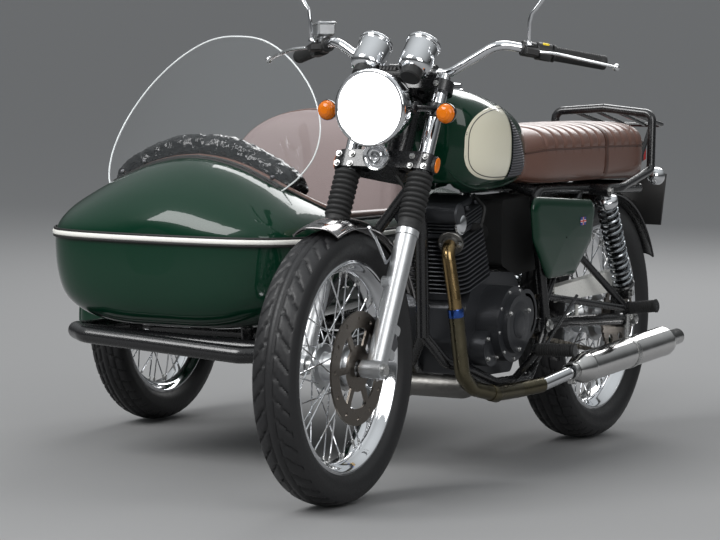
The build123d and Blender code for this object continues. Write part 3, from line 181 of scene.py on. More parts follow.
# CAD nodes take the look named after their slot, apart from these slots and nodes
BY_SLOT = {"aluminium": "cast_aluminium", "lamp_glass": "lamp_light", "amber": "amber_lens",
           "black_vinyl": "crinkled_vinyl"}
BY_NODE = {"silencers": "silencer_chrome", "sidecar_seat": "sidecar_leather", "fork_sliders": "painted_alloy",
           "chain_guard": "white_trim", "lower_yoke": "black_paint", "upper_yoke": "black_paint",
           "engine_covers": "engine_black"}
for part in frame["record"]["subparts"]:
    node, slot = part["node"], part["material_slot"]
    materials = bpy.data.objects[node].data.materials
    materials.clear()
    materials.append(LOOKS[BY_NODE.get(node, BY_SLOT.get(slot, slot))])


def ring(centre, u, v, count):
    """Points round a centre; u reaches to the first one and v a quarter turn on."""
    return [centre + u * cos(TAU * k / count) + v * sin(TAU * k / count) for k in range(count)]


def square_to(run):
    """A direction square to a run: level, apart from runs that are nearly upright."""
    return run.cross(Z if abs(run.z) < 0.9 else X).normalized()


class Build:
    """Collects the points and faces of one piece, in mm of the motorcycle's own datum."""

    def __init__(self):
        self.verts, self.faces = [], []

    def grid(self, rows, close_rows=False, close_cols=False, cap_ends=False):
        """Quads over rows of points."""
        start, count, n = len(self.verts), len(rows), len(rows[0])
        self.verts += [Vector(p) for row in rows for p in row]
        for i in range(count if close_rows else count - 1):
            here, there = start + i * n, start + (i + 1) % count * n
            for j in range(n if close_cols else n - 1):
                k = (j + 1) % n
                self.faces.append((here + j, here + k, there + k, there + j))
        if cap_ends:
            self.faces += [tuple(range(first, first + n)) for first in (start, start + (count - 1) * n)]
        return self

    def loft(self, rings):
        """A closed form through rings of points, capped at both ends."""
        return self.grid(rings, False, True, True)

    def lathe(self, centre, axis, profile, steps=48, closed=False):
        """A turned surface from (radius, along) points; closed joins the last point to the first."""
        centre, axis = Vector(centre), Vector(axis).normalized()
        side = square_to(axis)
        rows = [[centre + axis * along + out * radius for radius, along in profile]
                for out in ring(Vector(), side, axis.cross(side), steps)]
        return self.grid(rows, True, closed)

    def rod(self, points, radius, sides=12, radii=None, closed=False):
        """A round bar through points, with its section kept square to the run."""
        points = [Vector(p) for p in points]
        n, rows, side = len(points), [], None
        for i, p in enumerate(points):
            ahead, behind = ((i + 1) % n, i - 1) if closed else (min(i + 1, n - 1), max(i - 1, 0))
            run = (points[ahead] - points[behind]).normalized()
            side = side or square_to(run)
            side = (side - run * side.dot(run)).normalized()
            r = radii[i] if radii else radius
            rows.append(ring(p, side * r, run.cross(side) * r, sides))
        return self.grid(rows, True, True) if closed else self.loft(rows)

    def block(self, centre, axes, half, bevel):
        """A box with chamfered edges, from three axes and three half sizes."""
        u, v, w = axes
        a, b, c = half
        rows = []
        for depth, inset in ((-c, bevel), (-c + bevel, 0), (c - bevel, 0), (c, bevel)):
            x, y = a - inset, b - inset
            p, q = x - bevel, y - bevel
            outline = [(-p, -y), (p, -y), (x, -q), (x, q), (p, y), (-p, y), (-x, q), (-x, -q)]
            rows.append([Vector(centre) + u * across + v * along + w * depth for across, along in outline])
        return self.loft(rows)

    def bolt(self, place, axis, radius=7.0, height=6.0):
        """A hexagon bolt head on its washer."""
        washer = radius * 1.35
        self.lathe(place, axis, [(0, 0), (washer, 0), (washer, 1.6), (radius, 1.6)], 16)
        head = [(radius, 1.4), (radius, height - 1.2), (radius * 0.82, height), (0, height)]
        return self.lathe(place, axis, head, 6)

    def done(self, name, finish, body="machine", node=None, slot=None, sharp=38):
        """Makes the piece's mesh in metres; it rides on a body and may stand for a CAD node."""
        mesh = bpy.data.meshes.new(name)
        mesh.from_pydata([tuple(at(*v)) for v in self.verts], [], self.faces)
        shape = bmesh.new()
        shape.from_mesh(mesh)
        bmesh.ops.remove_doubles(shape, verts=shape.verts, dist=1e-6)
        bmesh.ops.recalc_face_normals(shape, faces=shape.faces)
        shape.to_mesh(mesh)
        shape.free()
        mesh.polygons.foreach_set("use_smooth", [True] * len(mesh.polygons))
        mesh.set_sharp_from_angle(angle=radians(sharp))
        mesh.materials.append(LOOKS[finish])
        obj = bpy.data.objects.new(name, mesh)
        bpy.context.collection.objects.link(obj)
        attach(obj, body)
        if node:
            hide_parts(node)
        return obj


def turned(name, finish, body, centres, axis, profile, steps, **more):
    """A piece that is the same turned form at each of its centres."""
    build = Build()
    for centre in centres:
        build.lathe(centre, axis, profile, steps)
    build.done(name, finish, body, **more)


def both(p):
    """A point and its mirror on the other side of the motorcycle."""
    return [vec(side * p[0], p[1], p[2]) for side in SIDES]


def mirror_build(make, name, finish, body="machine", **more):
    """A piece made of a left half and its mirror; make(build, side) adds one side."""
    build = Build()
    for side in SIDES:
        make(build, side)
    build.done(name, finish, body, **more)


def smooth_path(points, steps=8):
    """A Catmull-Rom curve through points of any number of values."""
    n, out = len(points), []
    for i in range(n - 1):
        knots = [points[max(0, min(n - 1, i + k))] for k in (-1, 0, 1, 2)]
        for t in (s / steps for s in range(steps)):
            out.append(tuple(0.5 * (2 * b + (c - a) * t + (2 * a - 5 * b + 4 * c - d) * t * t
                                    + (3 * b - a - 3 * c + d) * t ** 3) for a, b, c, d in zip(*knots)))
    return out + [tuple(points[-1])]


def bent(points, radius, steps=7):
    """A run of straight lines with its corners rounded."""
    points = [Vector(p) for p in points]
    out = [points[0]]
    for a, p, b in zip(points, points[1:], points[2:]):
        u, v = (a - p).normalized(), (b - p).normalized()
        reach = min(radius / tan(u.angle(v) / 2), 0.48 * (a - p).length, 0.48 * (b - p).length)
        for t in (k / steps for k in range(steps + 1)):
            out.append((p + u * reach) * (1 - t) ** 2 + p * 2 * t * (1 - t) + (p + v * reach) * t * t)
    return out + [points[-1]]


def between(rows, y):
    """The values at y from a table whose rows begin with a rising y."""
    for a, b in zip(rows, rows[1:]):
        if a[0] <= y <= b[0] and b[0] > a[0]:
            t = (y - a[0]) / (b[0] - a[0])
            return tuple(p + (q - p) * t for p, q in zip(a[1:], b[1:]))
    return rows[0][1:] if y < rows[0][0] else rows[-1][1:]


def rounded_box(half_a, half_b, corner, inset, steps):
    """Points round a rectangle with round corners, drawn inwards by inset."""
    r = corner - inset
    for cx, cy, first in ((1, 1, 0), (-1, 1, 1), (-1, -1, 2), (1, -1, 3)):
        for a in (pi / 2 * (first + k / steps) for k in range(steps + 1)):
            yield cx * (half_a - corner) + r * cos(a), cy * (half_b - corner) + r * sin(a)


def ray(angle):
    """The direction at an angle about X, from straight up towards the rear."""
    return vec(0, sin(angle), cos(angle))


def power(value, exponent):
    """A cosine or sine drawn towards a squarer oval."""
    return copysign(abs(value) ** (2 / exponent), value)


# Driving places, repeated from the CAD
FRONT_AXLE, REAR_AXLE, SIDE_AXLE = vec(0, 0, 316), vec(0, 1400, 319), vec(-1140, 1130, 300)
RAKE = radians(27)
FORK_UP, FORK_BACK = ray(RAKE), vec(0, cos(RAKE), -sin(RAKE))


def leg(along, x=0.0, behind=0.0):
    """A point beside the front axle, along the fork, across it and behind it."""
    return FRONT_AXLE + vec(x, 16, 0) + FORK_UP * along + FORK_BACK * behind


# Tyres with cut tread
TREAD_STEPS = 432


def tyre(name, centre, radius, width, rim_r, rim_w, body, pattern):
    """A tyre whose pattern gives the depth of the tread at a share of the half width and of a turn."""
    half, deep = width / 2, radius - rim_r
    outline = [(-rim_w / 2, rim_r), (-half * 0.90, rim_r + 0.2 * deep), (-half, rim_r + 0.48 * deep),
               (-half * 0.95, rim_r + 0.68 * deep), (-half * 0.80, rim_r + 0.85 * deep),
               (-half * 0.45, radius - 3.6), (0, radius)]
    section = smooth_path(outline + [(-x, r) for x, r in reversed(outline[:-1])], 5)
    rows = []
    for turn in (i / TREAD_STEPS for i in range(TREAD_STEPS)):
        row = []
        for x, r in section:
            cut = pattern(x / half, turn) if r > rim_r + 0.74 * deep else 0.0
            if rim_r + 0.60 * deep < r < rim_r + 0.63 * deep:
                cut = 0.8
            row.append(centre + X * x + ray(TAU * turn) * (r - cut))
        rows.append(row)
    Build().grid(rows, True).done(name + "_rubber", "tyre", body, name, sharp=50)


def front_tread(u, turn):
    """Two grooves round the tyre and slanting cuts on both sides."""
    phase = (turn * 40 + abs(u) * 1.5 + (0.5 if u > 0 else 0)) % 1
    if abs(abs(u) - 0.2) < 0.035:
        return 4.0
    return 4.5 if 0.24 < abs(u) < 0.82 and phase < 0.2 else 0.0


def rear_tread(u, turn):
    """Four grooves round the tyre and blocks between the cuts."""
    phase = (turn * 48 + abs(u) * 0.8 + (0.5 if u > 0 else 0)) % 1
    if abs(abs(u) - 0.16) < 0.04 or abs(abs(u) - 0.52) < 0.04:
        return 5.0
    return 5.0 if abs(u) > 0.2 and phase < 0.17 else 0.0


tyre("front_tyre", FRONT_AXLE, 316, 106, 243, 72, "front_wheel", front_tread)
tyre("rear_tyre", REAR_AXLE, 319, 126, 243, 84, "rear_wheel", rear_tread)
tyre("sidecar_tyre", SIDE_AXLE, 300, 98, 226, 66, "sidecar_wheel", rear_tread)


# Wire wheels: polished rims, hubs with flanges, crossed spokes with nipples
def wire_wheel(name, centre, rim_r, rim_w, hub, flange_x, flange_r):
    """A wheel's rim, hub, nine pairs of spokes a side and their nipples."""
    body, h, well = name + "_wheel", rim_w / 2, rim_r - 28
    lip = [(rim_r - 1, -h), (rim_r - 3, -h - 2.2), (rim_r - 6, -h - 2.6), (rim_r - 8, -h - 1.2),
           (rim_r - 10, 2 - h), (rim_r - 13, 5 - h), (rim_r - 16, 12 - h), (well + 6, 18 - h),
           (well + 1, -13), (well, -8)]
    outer = [(rim_r, h), (rim_r - 5, h - 4), (well + 5, 10), (well + 5, -10), (rim_r - 5, 4 - h), (rim_r, -h)]
    Build().lathe(centre, X, lip + [(r, -x) for r, x in reversed(lip)] + outer, 144, True).done(
        name + "_wire_rim", "chrome", body, name + "_wire_wheel", sharp=50)
    Build().lathe(centre, X, hub, 64, True).done(name + "_wire_hub", "cast_aluminium", body, sharp=30)
    spokes, nipples = Build(), Build()
    step = TAU / 9
    for side, turn in ((-1, 0.0), (1, step / 2)):
        for pair, lean in ((pair, lean) for pair in range(9) for lean in SIDES):
            at_rim = turn + step * (pair + 0.22 * lean)
            a = centre + X * side * (flange_x + 3 * lean) + ray(at_rim + radians(52) * lean) * flange_r
            b = centre + X * side * 5 + ray(at_rim) * (well + 1)
            run = (b - a).normalized()
            spokes.rod([a - X * side * 4 * lean, a, b], 1.9, 8)
            nipples.rod([b - run * 13, b - run * 12, b], 3.2, 8, [2.4, 3.2, 3.4])
    spokes.done(name + "_wire_spokes", "chrome", body)
    nipples.done(name + "_wire_nipples", "zinc_steel", body, slot="chrome")


FRONT_HUB = [(8.3, -46), (20, -46), (26, -44), (29, -38), (31, -36), (51, -35), (53, -33), (53, -29),
             (51, -27), (34, -25), (31, -20), (31, 20), (34, 25), (51, 27), (53, 29), (53, 33), (51, 35),
             (42, 37), (42, 50), (38, 53), (8.3, 53)]
REAR_HUB = [(8.3, -66), (30, -66), (40, -64), (78, -64), (86, -60), (89, -52), (90, -34), (86, -29),
            (60, -27), (44, -22), (44, 22), (48, 27), (62, 28), (63, 36), (58, 40), (46, 44), (46, 74),
            (42, 76), (8.3, 76)]
SIDE_HUB = [(8.3, -40), (20, -40), (26, -36), (28, -34), (47, -33), (49, -31), (49, -26), (46, -24),
            (30, -20), (28, 0), (30, 20), (70, 24), (77, 28), (77, 48), (72, 52), (8.3, 52)]
wire_wheel("front", FRONT_AXLE, 243, 72, FRONT_HUB, 31, 47)
wire_wheel("rear", REAR_AXLE, 243, 84, REAR_HUB, 30, 56)
wire_wheel("sidecar", SIDE_AXLE, 226, 66, SIDE_HUB, 28, 42)

# Fork gaiters with round folds
profile = [(18.6, 340), (27, 340), (28, 342), (28, 350), (26.5, 352), (26.5, 360), (27.5, 364)]
profile += [(25 + 5.5 * sin(pi * k / 6), 364 + 13 * (fold + k / 6)) for fold in range(9) for k in range(6)]
turned("gaiter_rubber", "rubber", "fork", [leg(0, side * 95) for side in SIDES], FORK_UP,
       profile + [(25, 478), (25, 481), (18.6, 481)], 48, node="fork_gaiters", sharp=60)

# Rear shocks: spring, body and covers
SHOCK_TOP, SHOCK_FOOT = vec(138, 1198, 662), vec(138, 1345, 392)
COILS, COIL_R, COIL_STEPS = 14, 24, 20
springs, bodies, caps = Build(), Build(), Build()
for foot, top in zip(both(SHOCK_FOOT), both(SHOCK_TOP)):
    run, length = (top - foot).normalized(), (top - foot).length
    a = run.cross(X).normalized()
    b = run.cross(a)
    rise = (length - 68) / COILS
    springs.rod([foot + run * (28 + rise * turn) + (a * cos(TAU * turn) + b * sin(TAU * turn)) * COIL_R
                 for turn in (i / COIL_STEPS for i in range(COILS * COIL_STEPS + 1))], 4.4, 8)
    bodies.lathe(foot, run, [(0, -14), (12, -13), (15, -6), (15, 12), (19, 16), (19, 20), (29, 22), (30, 26),
                             (27, 29), (16, 30), (15, length * 0.6), (7, length * 0.6 + 2),
                             (7, length - 40)], 32)
    for end in (foot, top):
        bodies.lathe(end - X * 15, X, [(7, 0), (16, 0), (16, 30), (7, 30)], 24)
    caps.lathe(foot, run, [(20, length - 42), (28, length - 41), (30, length - 38), (30, length - 26),
                           (27, length - 21), (16, length - 16), (13, length + 8), (0, length + 13)], 40)
springs.done("shock_springs", "spring_steel", node="rear_shocks")
bodies.done("shock_bodies", "black_paint")
caps.done("shock_caps", "chrome")

# Sidecar body: a smooth surface measured from the same stations as the CAD
BODY_X, BELT_Z = -680.0, 558.0
BODY_STATIONS = [(317, 30, 500, 576), (318, 70, 470, 586), (321, 118, 440, 600), (330, 190, 400, 619),
                 (348, 254, 366, 642), (380, 306, 344, 674), (430, 342, 334, 710), (480, 360, 330, 735),
                 (540, 369, 330, 749), (660, 374, 330, 738), (850, 375, 330, 724), (1150, 375, 330, 704),
                 (1380, 364, 332, 684), (1560, 336, 345, 658), (1710, 282, 372, 630), (1820, 204, 408, 604),
                 (1880, 124, 446, 584), (1905, 60, 486, 570), (1907, 20, 510, 564)]
HOOD_SECTION = [(1.0, 0.0), (0.965, 0.17), (0.89, 0.34), (0.77, 0.5), (0.65, 0.63), (0.5, 0.77), (0.34, 0.89),
                (0.17, 0.97), (0.0, 1.0)]
FINE_STATIONS, FINE_HOOD = smooth_path(BODY_STATIONS, 10), smooth_path(HOOD_SECTION, 8)


def hood(x, y, above=0.0):
    """The point of the sidecar's upper surface over x and y, lifted by a distance."""
    w, _, crown = between(FINE_STATIONS, y)
    u = min(1.0, abs(x - BODY_X) / w)
    (a, p), (b, q) = next(pair for pair in zip(FINE_HOOD, FINE_HOOD[1:]) if pair[1][0] <= u <= pair[0][0])
    return vec(x, y, BELT_Z + (crown - BELT_Z) * (p + (q - p) * (a - u) / (a - b)) + above)


# Belt: a white stripe between a thin black line above it and a broader one below
BODY_FRONT, BODY_REAR = 317, 1907.5
plan = [(BODY_FRONT, 0.0)] + [(y, w) for y, w, _, _ in FINE_STATIONS] + [(BODY_REAR, 0.0)]
line = [vec(BODY_X + w, y, 0) for y, w in plan] + [vec(BODY_X - w, y, 0) for y, w in reversed(plan[1:-1])]
runs = [line[(i + 1) % len(line)] - line[i - 1] for i in range(len(line))]
for name, finish, node, profile in (
        ("belt_stripe", "white_trim", "sidecar_belt_moulding",
         [(1, -5.5), (5.4, -5.5), (7.4, -4), (8, -1), (8, 2), (7.2, 5), (5.4, 6.5), (1, 6.5)]),
        ("belt_lower_edge", "rubber", None,
         [(1, -12), (4, -12), (6.4, -10.5), (6.6, -7.5), (5.2, -5.5), (1, -5.5)]),
        ("belt_upper_edge", "rubber", None, [(1, 6.5), (5.2, 6.5), (5.6, 9.5), (4.2, 12), (1, 12)])):
    rows = [[p + vec(run.y, -run.x, 0).normalized() * out + Z * (BELT_Z + height) for out, height in profile]
            for p, run in zip(line, runs)]
    Build().grid(rows, True, True).done(name, finish, node=node, sharp=60)

# Rolled leather edge round the cockpit and its inner lining
COCKPIT_Y, COCKPIT_HALF_L, COCKPIT_HALF_W, COCKPIT_CORNER = 907.0, 355.0, 346.0, 150.0
LINING_Y, LINING_FOOT, LINING_STEPS = 893, 400, 12


def cockpit_ring(inset):
    """Plan points of the cockpit opening, drawn inwards by inset."""
    plan = [vec(BODY_X + x, COCKPIT_Y + y, 0)
            for x, y in rounded_box(COCKPIT_HALF_W, COCKPIT_HALF_L, COCKPIT_CORNER, inset, 14)]
    dense = []
    for a, b in zip(plan, plan[1:] + plan[:1]):
        count = max(1, int((b - a).length // 24))
        dense.extend(a + (b - a) * k / count for k in range(count))
    return dense


for name, finish, radius, inset, above, sides in (("cockpit_edge_roll", "brown_leather", 11, 4, -3, 12),
                                                  ("cockpit_edge_bead", "rubber", 3.2, -9, 2.5, 8)):
    line = [hood(p.x, p.y, above) for p in cockpit_ring(inset)]
    rows = []
    for i, p in enumerate(line):
        run = (line[(i + 1) % len(line)] - line[i - 1]).normalized()
        inward = Z.cross(run).normalized()
        rows.append(ring(p, inward * radius, run.cross(inward).normalized() * radius, sides))
    Build().grid(rows, True, True).done(name, finish)
rows = []
for p in cockpit_ring(3):
    top = hood(p.x, p.y, -12).z
    inward = vec(BODY_X - p.x, LINING_Y - p.y, 0).normalized()
    rows.append([])
    for t in (k / LINING_STEPS for k in range(LINING_STEPS + 1)):
        swell = 3 + (5 * sin(pi * (t * 4 % 1)) if 0 < t < 1 else 0) - 10 * t * (1 - t)
        rows[-1].append(vec(p.x, p.y, top + (LINING_FOOT - top) * t) + inward * swell)
Build().grid(rows, True).done("cockpit_lining", "sidecar_leather", sharp=70)

# Windscreen: clear bent sheet with screws and a rubber seal; its rim is pale and part opaque, a painted
# highlight along the sheet's edge
SCREEN_LEAN, SCREEN_BEND, SCREEN_FOOT = radians(36.5), 650.0, vec(BODY_X, 522, 745)
SCREEN_UP, SCREEN_BACK = ray(SCREEN_LEAN), vec(0, cos(SCREEN_LEAN), -sin(SCREEN_LEAN))
SCREEN_EDGE = [(0, 1046), (80, 1035), (160, 990), (232, 918), (278, 836), (290, 762), (272, 704), (238, 664)]
SCREEN_FOOT_HALF_W, HOOD_FIRST_Y, SHEET_FRONT, SHEET_BACK = 236, 330, 0.3, 3.7


def screen_point(u, z, behind=0.0):
    """The windscreen's face at a side offset and a height."""
    sag = SCREEN_BEND - sqrt(max(0.0, (SCREEN_BEND - behind) ** 2 - u * u))
    base = SCREEN_FOOT + X * u + SCREEN_BACK * sag
    return base + SCREEN_UP * (z - base.z) / SCREEN_UP.z


def lowest_on_screen(u):
    """Where the sheet meets the hood at a side offset."""
    for z in range(900, 600, -2):
        p = screen_point(u, z)
        if p.z <= hood(p.x, max(HOOD_FIRST_Y, p.y)).z + 1:
            return z
    return 600


outline = smooth_path([(-x, z) for x, z in reversed(SCREEN_EDGE[1:])] + SCREEN_EDGE, 8)
travelled = [0.0]
for a, b in zip(outline, outline[1:]):
    travelled.append(travelled[-1] + hypot(b[0] - a[0], b[1] - a[1]))
rows = []
for (u, top), run in zip(outline, travelled):
    foot = SCREEN_FOOT_HALF_W * (2 * run / travelled[-1] - 1)
    low = lowest_on_screen(foot)
    column = [(foot + (u - foot) * t ** 1.4, low + (top - low) * t) for t in (k / 24 for k in range(25))]
    rows.append([screen_point(*p, SHEET_FRONT) for p in column]
                + [screen_point(*p, SHEET_BACK) for p in reversed(column)])
Build().loft(rows).done("windscreen_sheet", "clear_screen", node="sidecar_windscreen", sharp=35)
Build().rod([screen_point(*p, 2) for p in outline], 2.1, 10).done("windscreen_rim", "screen_edge_glint")
screws = Build()
for u in (-215, -150, 215):
    p, q = (screen_point(u, lowest_on_screen(u) + 15, behind) for behind in (0, 30))
    screws.lathe(p, p - q, [(0, -5), (5.6, -5), (5.6, 0.4), (5, 0.8), (4.2, 2.2), (2.5, 3.2), (0, 3.5)], 20)
screws.done("windscreen_screws", "dark_aluminium")
rows = []
for u in (SCREEN_FOOT_HALF_W * (k / 20 - 1) for k in range(41)):
    low = lowest_on_screen(u)
    rows.append([screen_point(u, low + height, behind) for height, behind in (
        (-3, 1), (3.4, -0.6), (4.2, 0), (4.2, 4.0), (3.4, 4.8), (-3, 4.8))])
Build().loft(rows).done("windscreen_seal", "rubber", sharp=50)

# Crinkled vinyl roll in front of the cockpit
HALF_ROLL = [(0, 592, 770), (84, 592, 763), (190, 594, 718), (240, 610, 682), (266, 621, 660)]
WHOLE_ROLL = [(-x, y, z) for x, y, z in reversed(HALF_ROLL[1:])] + HALF_ROLL
ROLL_PATH = [Vector(p) for p in smooth_path(WHOLE_ROLL, 16)]
ROLL_R, ROLL_FOLD = 37.0, 9.0


def crinkle(along, angle):
    """Folds that pinch a soft roll: sharp valleys across it with smaller creases between."""
    value = 0.0
    for n, weight in ((9, 1.0), (17, 0.7), (31, 0.45), (53, 0.25)):
        phase = along * n * 0.9 + sin(angle * 2 + n) * 0.55 + sin(along * 7.3 + n * 1.7) * 0.8
        value += weight * (1 - 2 * abs((phase % 1) - 0.5))
    return value / 2.4


rows, last = [], len(ROLL_PATH) - 1
for i, p in enumerate(ROLL_PATH):
    t = i / last
    run = (ROLL_PATH[min(last, i + 1)] - ROLL_PATH[max(0, i - 1)]).normalized()
    out = run.cross(Z).normalized()
    taper = min(1.0, 0.35 + 5.0 * min(t, 1 - t))
    rows.append([p + X * BODY_X + way * (ROLL_R - ROLL_FOLD * crinkle(t * 10, TAU * j / 40)) * taper
                 for j, way in enumerate(ring(Vector(), out, out.cross(run), 40))])
roll = Build().loft(rows).done("cockpit_roll_vinyl", "crinkled_vinyl", node="cockpit_roll", sharp=180)

# Sidecar seat: crowned cushion and an arched back, both piped, with a sewn seam and flutes
PAD_STEPS, PAD_PULL, PAD_REAR = (56, 44), (0.022, 0.02), 0.985
FLUTE_DEPTH, FLUTE_W, SEAM_DEPTH, SEAM_W, SEAM_AT = 5.5, 0.07, 4, 0.012, 0.86


def pad(name, centre, axes, half_a, half_b, thick, crown, squareness, flutes=0, arch=None, node=None):
    """A closed stuffed form: its face is crowned, and its sides pull in between the corners. Returns the
    line round its face."""
    across, along, out = axes
    face, rear = [], []
    for u in (2 * i / PAD_STEPS[0] - 1 for i in range(PAD_STEPS[0] + 1)):
        face.append([])
        rear.append([])
        for v in (2 * j / PAD_STEPS[1] - 1 for j in range(PAD_STEPS[1] + 1)):
            edge = max(abs(u), abs(v))
            reach = edge / ((abs(u) ** squareness + abs(v) ** squareness) ** (1 / squareness) or 1)
            pull = 1 - PAD_PULL[0] * (1 - u * u) * abs(v) ** 6 - PAD_PULL[1] * (1 - v * v) * abs(u) ** 6
            x, y = u * reach * half_a * pull, v * reach * half_b * pull
            if arch and y > arch:
                x *= sqrt(max(0.004, 1 - ((y - arch) / (half_b - arch)) ** 2))
            dome = sqrt(1 - edge ** 5)
            height = thick / 2 + (thick / 2 + crown * (1 - u * u) * (1 - v * v)) * dome
            if flutes:
                phase = (u * flutes / 2) % 1
                height -= FLUTE_DEPTH * exp(-(min(phase, 1 - phase) / FLUTE_W) ** 2) * dome
            height -= SEAM_DEPTH * exp(-((edge - SEAM_AT) / SEAM_W) ** 2)
            face[-1].append(centre + across * x + along * y + out * height)
            rear[-1].append(centre + (across * x + along * y) * PAD_REAR + out * thick / 2 * (1 - dome))
    Build().grid(face).grid(rear).done(name, "sidecar_leather", node=node, sharp=180)
    return [row[0] for row in face] + face[-1][1:] + [row[-1] for row in face[-2::-1]] + face[0][-2:0:-1]


BACK_UP, BACK_OUT = vec(0, 0.14, 1).normalized(), vec(0, -1, 0.14).normalized()
CUSHION_PLACE, BACK_PLACE = vec(BODY_X, 880, 352), vec(BODY_X, 1090, 338) + BACK_UP * 342 - BACK_OUT * 84
lines = (pad("sidecar_seat_cushion", CUSHION_PLACE, (X, Y, Z), 254, 214, 118, 14, 4.0, flutes=6,
             node="sidecar_seat"),
         pad("sidecar_seat_back", BACK_PLACE, (X, BACK_UP, BACK_OUT), 260, 182, 84, 6, 9.0, arch=24))
piping = Build()
for line in lines:
    piping.rod(line, 3.6, 8, closed=True)
piping.done("sidecar_seat_piping", "brown_leather")

# Fuel tank: a smooth shell over the solid, with its cream panel, lines, knee pads, cap and seam
TANK_ROWS = [(401, 22, 796, 868), (403, 52, 770, 888), (414, 88, 736, 913), (444, 123, 702, 933),
             (520, 140, 681, 936), (640, 138, 679, 914), (740, 120, 687, 884), (812, 92, 697, 850),
             (836, 68, 712, 834), (838, 30, 735, 815)]
FINE_TANK, TANK_POWER = smooth_path(TANK_ROWS, 8), 2.75
TUNNEL_HALF_W, TUNNEL_TOP = 68.0, 714.0


def tank_side(y, z, off, side):
    """The point of the tank's side at y and z, pushed outwards by off."""
    w, low, high = between(FINE_TANK, y)
    middle, half = (low + high) / 2, (high - low) / 2
    v = min(0.999, abs(z - middle) / half)
    x = w * (1 - v ** TANK_POWER) ** (1 / TANK_POWER)
    slope = (v / max(0.05, x / w)) ** (TANK_POWER - 1) * w / half
    normal = vec(1, 0, copysign(slope, z - middle)).normalized()
    return vec(side * (x + off * normal.x), y, z + off * normal.z)


rows = []
for y, w, low, high in FINE_TANK:
    rows.append([])
    for angle in (TAU * j / 128 for j in range(128)):
        x = power(cos(angle), TANK_POWER) * w
        z = (low + high) / 2 + power(sin(angle), TANK_POWER) * (high - low) / 2
        if sin(angle) < 0 and abs(x) < TUNNEL_HALF_W < w:
            z = max(z, TUNNEL_TOP)
        rows[-1].append((x, y, z))
Build().loft(rows).done("tank_shell", "green_paint", node="fuel_tank", sharp=70)

PANEL_REAR, PANEL_REACH, PANEL_Z, PANEL_HALF, PANEL_POWER = 633.0, 204.0, 806.0, 88.0, 3.2
STRIPE_INSET = 7.0


def panel_front(v, inset=0.0):
    """The panel's front edge at a share v of its half height."""
    return PANEL_REAR - (PANEL_REACH - inset) * max(0.0, 1 - abs(v) ** PANEL_POWER) ** (1 / PANEL_POWER)


def cream_panel(build, side):
    """A thin panel on the tank's flank, with its edges down on the shell."""
    rows = []
    for k in range(49):
        v = sin(pi * (k / 48 - 0.5))
        first = panel_front(v)
        rows.append([])
        for j in range(25):
            off = 0.2 if k in (0, 48) or j in (0, 24) else 1.0
            y = first + (PANEL_REAR - first) * j / 24
            rows[-1].append(tank_side(y, PANEL_Z + PANEL_HALF * v, off, side))
    build.grid(rows)


def panel_stripe(build, side):
    """A thin line inside the panel's curved edge."""
    build.rod([tank_side(panel_front(v, STRIPE_INSET) if abs(v) < 0.9999 else PANEL_REAR,
                         PANEL_Z + (PANEL_HALF - STRIPE_INSET) * v, 1.1, side)
               for v in (sin(pi * (k / 96 - 0.5)) for k in range(97))], 1.1, 6)


PAD_LINE = [(640, 726), (640, 862), (664, 850), (706, 818), (742, 784), (762, 752), (760, 730), (740, 722),
            (690, 720)]
PAD_Y, PAD_Z = 690, 772


def knee_ribs(build, side):
    """Level ribs on the rubber pad of the tank's flank."""
    for z in (726 + 6.2 * i for i in range(23)):
        inside = [y for y in range(636, 764, 4) if y < 764 - max(0, z - 742) * 1.02]
        if len(inside) > 2:
            build.grid([[tank_side(y, z + above, off, side) for y in inside]
                        for above, off in ((-2.7, 0.6), (-1.9, 3.6), (0, 4.6), (1.9, 3.6), (2.7, 0.6))])


def knee_pad(build, side):
    """The rubber pad, drawn in to its middle."""
    line = smooth_path([*PAD_LINE, PAD_LINE[0]], 5)
    build.grid([[tank_side(PAD_Y + (y - PAD_Y) * t, PAD_Z + (z - PAD_Z) * t, off, side) for y, z in line]
                for t, off in ((1.03 * (1 - k / 8), 1.6 if k else 0.1) for k in range(9))], False, True)


def tank_seam(build, side):
    """The rolled seam along the tank's foot."""
    build.rod([tank_side(y, between(FINE_TANK, y)[1] + 20, 0.2, side) for y in range(420, 832, 12)], 2.2, 8)


mirror_build(cream_panel, "tank_cream_panel", "cream_paint", sharp=60)
mirror_build(panel_stripe, "tank_pinstripes", "dial_face")
# The ribs are a lighter grey than the pad's rubber between them: painted highlight
mirror_build(knee_ribs, "knee_pad_ribs", "rib_highlight_rubber", sharp=80)
mirror_build(knee_pad, "knee_pads", "rubber", sharp=80)
mirror_build(tank_seam, "tank_seams", "green_paint")
CAP = vec(0, 566, 926)
turned("tank_cap", "chrome", "machine", [CAP], Z,
       [(0, 0), (36, 0), (38, 3), (38, 6), (34, 8), (33, 12), (34, 16), (33, 19), (29, 21), (8, 22.5),
        (0, 22.5)], 64, sharp=40)
turned("tank_cap_lock", "zinc_steel", "machine", [CAP + Z * 22], Z,
       [(0, 0), (7, 0), (7, 1.6), (5.5, 2), (0, 2)], 24)

# Saddle: two sections of sewn cross flutes, side seams, bottom piping and the strap
SADDLE_ROWS = [(806, 62, 722, 800), (809, 76, 712, 806), (822, 98, 700, 820), (900, 122, 692, 836),
               (1040, 127, 690, 834), (1200, 130, 688, 833), (1450, 126, 681, 828), (1510, 110, 681, 818),
               (1532, 92, 688, 806), (1539, 70, 700, 794), (1540, 40, 715, 780)]
FINE_SADDLE = smooth_path(SADDLE_ROWS, 10)
STRAP_Y, SEAM_SHARE, PIPING_SHARE, STITCH_SHARE = 1238.0, 0.60, 0.045, 0.655
TOP_POWER, FOOT_POWER, TUCK = 3.4, 6.0, 0.0175
FLUTE_FIRST, FLUTE_LAST, FLUTE_PITCH = 880, 1500, 51.0


